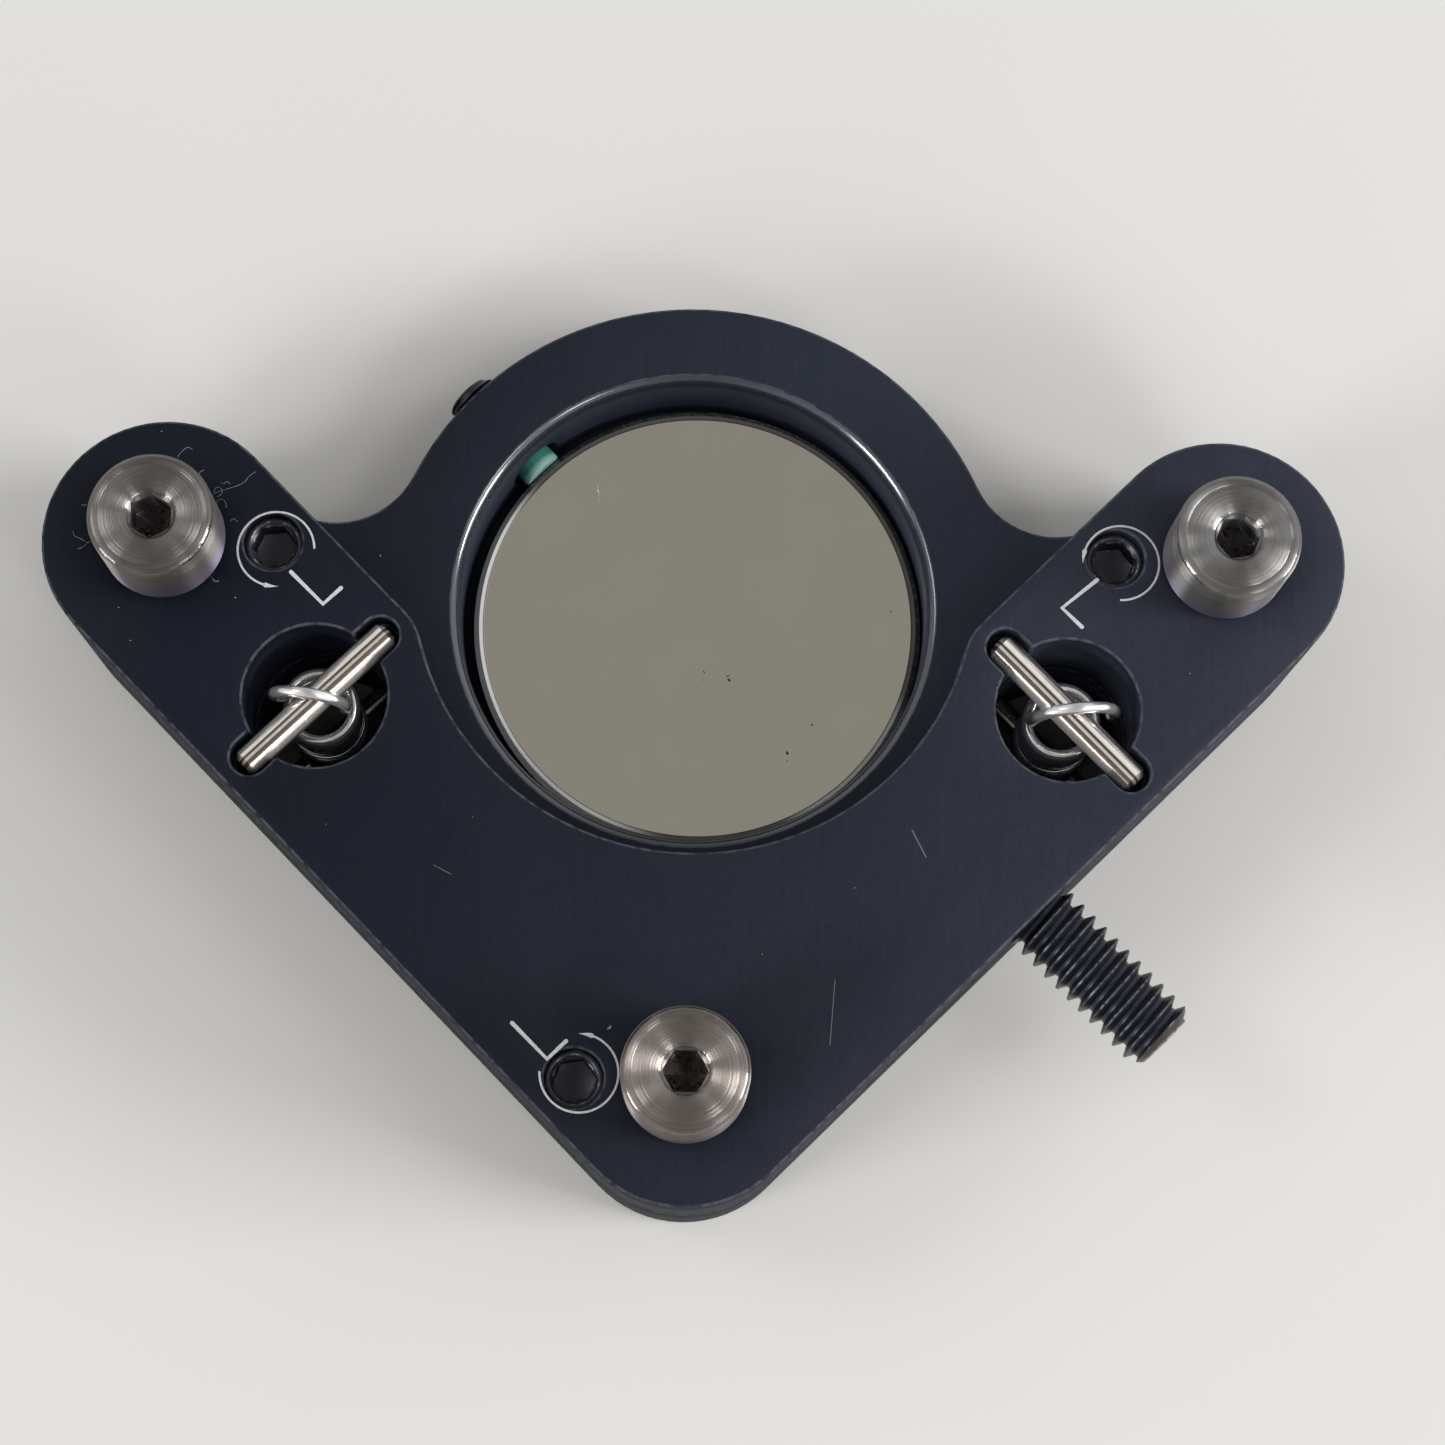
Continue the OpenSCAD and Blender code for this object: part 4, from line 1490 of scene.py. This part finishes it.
@dataclass
class Mirror(SubAssembly):
    """The round mirror, and the dust and lint that lie on the mount."""

    centre: Spot = (0.390, -0.390)
    back: float = 5.4
    lift: float = 0.02
    hair_sides: int = 6
    soot: tuple[Place, ...] = (
        (3.07, -4.72, 1.0), (3.16, -5.07, 0.8), (8.19, -11.3, 1.2), (8.18, -12.0, 0.9), (1.02, -4.42, 0.6),
        (0.95, -5.2, 0.5), (10.26, -8.83, 0.7), (10.10, -9.53, 0.6), (16.9, 1.2, 0.7),
    )
    pale: tuple[Place, ...] = (
        (-8.41, 11.62, 1.3), (-8.37, 11.32, 1.5), (-8.34, 11.05, 1.2), (-8.30, 10.9, 1.1), (7.2, 13.3, 0.5),
        (8.3, 10.9, 0.5), (8.2, 9.9, 0.5), (-12.4, -11.6, 0.5),
    )
    specks: tuple[Place, ...] = (
        (-43.4, 11.1, 1.2), (-36.8, -2.6, 1.0), (-5.95, -36.65, 1.4), (-46.1, -3.6, 0.8), (-45.0, -6.3, 0.7),
        (-25.3, 1.1, 0.7), (24.4, -8.8, 0.7), (30.2, 6.3, 0.6), (5.9, -30.6, 0.6), (-17.2, -20.1, 0.6),
        (13.1, -25.2, 0.5), (-28.8, -20.9, 0.6), (39.9, -7.3, 0.6),
    )
    fibres: tuple[tuple[Place, ...], ...] = (
        ((-50.08, 2.63, 21.52), (-49.9, 2.2, 21.7), (-49.4, 1.95, 21.75), (-48.83, 1.66, 21.55)),
        ((-49.6, 1.15, 21.52), (-49.2, 1.3, 21.7), (-48.59, 1.83, 21.55)),
        ((-40.19, 7.43, 21.52), (-40.1, 7.7, 21.7), (-39.81, 7.94, 21.55)),
        ((-38.95, 6.1, 21.52), (-38.7, 6.42, 21.8), (-38.32, 6.35, 21.9), (-38.25, 5.95, 21.75),
         (-38.6, 5.7, 21.55)),
        ((-38.75, 5.2, 21.52), (-38.38, 5.45, 21.8), (-37.98, 5.3, 21.8), (-37.85, 4.85, 21.53)),
        ((-38.45, 6.95, 21.52), (-38.1, 6.75, 21.75), (-37.9, 6.95, 21.8), (-37.65, 6.8, 21.53)),
        ((-39.0, -0.71, 21.52), (-38.57, -1.19, 21.6), (-38.16, -1.35, 21.52)),
        ((-49.5, 4.85, 21.53), (-49.3, 4.75, 21.6), (-49.1, 4.9, 21.53)),
        ((-39.0, 5.95, 21.52), (-38.2, 6.2, 21.8), (-37.5, 6.4, 21.9), (-36.6, 6.85, 21.7),
         (-36.1, 7.5, 21.6), (-35.6, 7.9, 21.52)),
        ((-42.0, 9.0, 21.52), (-41.6, 9.45, 21.7), (-41.2, 9.75, 21.7), (-40.8, 9.65, 21.53)),
        ((-37.5, 3.7, 21.53), (-37.2, 3.9, 21.6), (-36.9, 3.66, 21.53)),
        ((-38.7, -1.2, 21.52), (-38.45, -1.35, 21.55), (-38.2, -1.2, 21.52)),
    )
    smears: tuple[tuple[Place, ...], ...] = (
        ((-8.42, 11.85, 5.43), (-8.4, 11.55, 5.46), (-8.41, 11.25, 5.43)),
        ((-8.3, 10.95, 5.43), (-8.31, 10.6, 5.46), (-8.28, 10.3, 5.43)),
    )

    def build(self) -> None:
        """Silvers the mirror and lays the dust and lint."""
        self.dress(MirrorGlass("mirror_glass", self.centre, self.back), "mirror")
        look = {"grain": 3.0, "roughness": 0.8}
        soot = Film("dark_specks", linear(44, 44, 42), linear(70, 70, 66), **look)
        lint = Film("pale_lint", linear(168, 170, 174), linear(112, 114, 119), **look)
        glass, plate = ("front_plate", "mirror_glass"), ("rear_plate", "anodised_plate")
        for litter, marks, height, finish in (
            (Litter("mirror_specks", *glass, 0.16), self.soot, self.back, soot),
            (Litter("mirror_dust", *glass, 0.12), self.pale, self.back, lint),
            (Litter("plate_dust", *plate, 0.09), self.specks, REAR_FACE, lint),
        ):
            places = [[(x, y, height + self.lift)] for x, y, _ in marks]
            blank = chain(places, [[share] for _, _, share in marks])
            sizes = {"Radius": litter.size * MM, "Seed": len(litter.name)}
            mesh = self.jigs.speck.run(blank, finish, **sizes)
            self.place(litter.name, mesh, litter.body, litter.slot)
        for litter, paths in (
            (Litter("plate_lint", *plate, 0.009), self.fibres),
            (Litter("mirror_lint", *glass, 0.03), self.smears),
        ):
            blank = chain([rounded(path) for path in paths])
            mesh = self.jigs.wire.run(blank, lint, Radius=litter.size * MM, Sides=self.hair_sides)
            self.place(litter.name, mesh, litter.body, litter.slot)


# ---------------------------------------------------------------- studio


@dataclass(frozen=True)
class Lamp:
    """A soft lamp that points at the mount: its place and size in metres, and its power in watts."""

    name: str
    at: Place
    size: Spot
    power: float

    def hang(self) -> None:
        """Hangs the lamp."""
        light = bpy.data.lights.new(self.name, "AREA")
        light.shape = "RECTANGLE"
        light.size, light.size_y = self.size
        light.energy = self.power
        stood(self.name, light, aimed(self.at, self.at))


@dataclass(frozen=True)
class Studio:
    """Pale floor, soft light and the camera."""

    floor_colour: Colour = linear(190, 188, 184)
    floor_half: float = 1500.0
    floor_drop: float = 0.05
    zenith: Colour = (0.385, 0.378, 0.355)
    ends: Colour = (0.55, 0.55, 0.55)
    sides: Colour = (0.78, 0.79, 0.81)
    window: Colour = (1.2, 1.23, 1.27)
    lamps: tuple[Lamp, ...] = (
        Lamp("lamp_left", (-0.88, -0.468, 0.465), (0.34, 0.2), 5.6),
        Lamp("lamp_right", (1.03, -0.18, 0.49), (0.46, 0.18), 11.0),
        Lamp("strip_front", (0.55, -0.66, 0.8), (0.22, 0.22), 1.9),
        Lamp("strip_left", (-0.74, 0.195, 1.04), (0.3, 0.3), 1.6),
        Lamp("strip_right", (0.65, -0.117, 1.12), (0.3, 0.3), 1.6),
    )
    tilt: float = -0.2017
    swing: float = 0.0129
    roll: float = -0.0168
    shift: Place = (-2.2581, 11.8627, -266.39)
    lens: float = 82.404

    def build(self) -> None:
        """Sets the floor, the light and the camera."""
        self.floor()
        self.sky()
        for lamp in self.lamps:
            lamp.hang()
        self.camera()
        bpy.context.scene.view_settings.view_transform = "Standard"

    def floor(self) -> None:
        """Lays the floor just under the front face."""
        made = bmesh.new()
        bmesh.ops.create_grid(made, x_segments=8, y_segments=8, size=self.floor_half)
        bmesh.ops.translate(made, vec=(0.0, 0.0, -self.floor_drop), verts=made.verts)
        plane = stood("floor", finished(made, Paper("floor_paper", self.floor_colour)))

    def sky(self) -> None:
        """Even soft light from all round, dimmer from straight above."""
        world = bpy.data.worlds.new("soft_sky")
        bpy.context.scene.world = world
        world.use_nodes = True
        board = Board()
        board.tree = world.node_tree
        board.tree.nodes.clear()
        across, _, height = board.split(board.node("ShaderNodeTexCoord", output="Generated"))
        colour = board.mix(height.above(0.1, 0.6), self.ends, self.zenith)
        colour = board.mix(abs(across).above(0.09, 0.4), colour, self.sides)
        colour = board.mix(across.above(0.25, 0.8), colour, self.window)
        shader = board.node("ShaderNodeBackground", {"Color": colour, "Strength": 1.0})
        board.node("ShaderNodeOutputWorld", {0: shader})

    def camera(self) -> None:
        """Stands the camera above the mount, tilted a little."""
        angles = ((self.roll, "Z"), (self.tilt, "X"), (self.swing, "Y"))
        roll, tilt, swing = (Matrix.Rotation(angle, 3, axis) for angle, axis in angles)
        turn = (roll @ tilt @ swing).transposed()
        at = turn @ (-Vector(self.shift)) + Vector((0.0, 0.0, REAR_FACE))
        data = bpy.data.cameras.new("camera")
        data.sensor_width = 36.0
        data.lens = self.lens
        data.clip_start = 0.01
        bpy.context.scene.camera = stood("camera", data, Matrix.Translation(at * MM) @ turn.to_4x4())


def main() -> None:
    """Builds the studio and the mount's looks."""
    logging.basicConfig(level=logging.INFO, format="%(name)s: %(message)s")
    Studio().build()
    jigs = Jigs(WireJig(), StrokeJig(), SpeckJig(), ThreadJig())
    for group in (Plates, Adjusters, Locks, Springs, Hardware, Mirror):
        group(jigs).build()


if __name__ == "__main__":
    main()
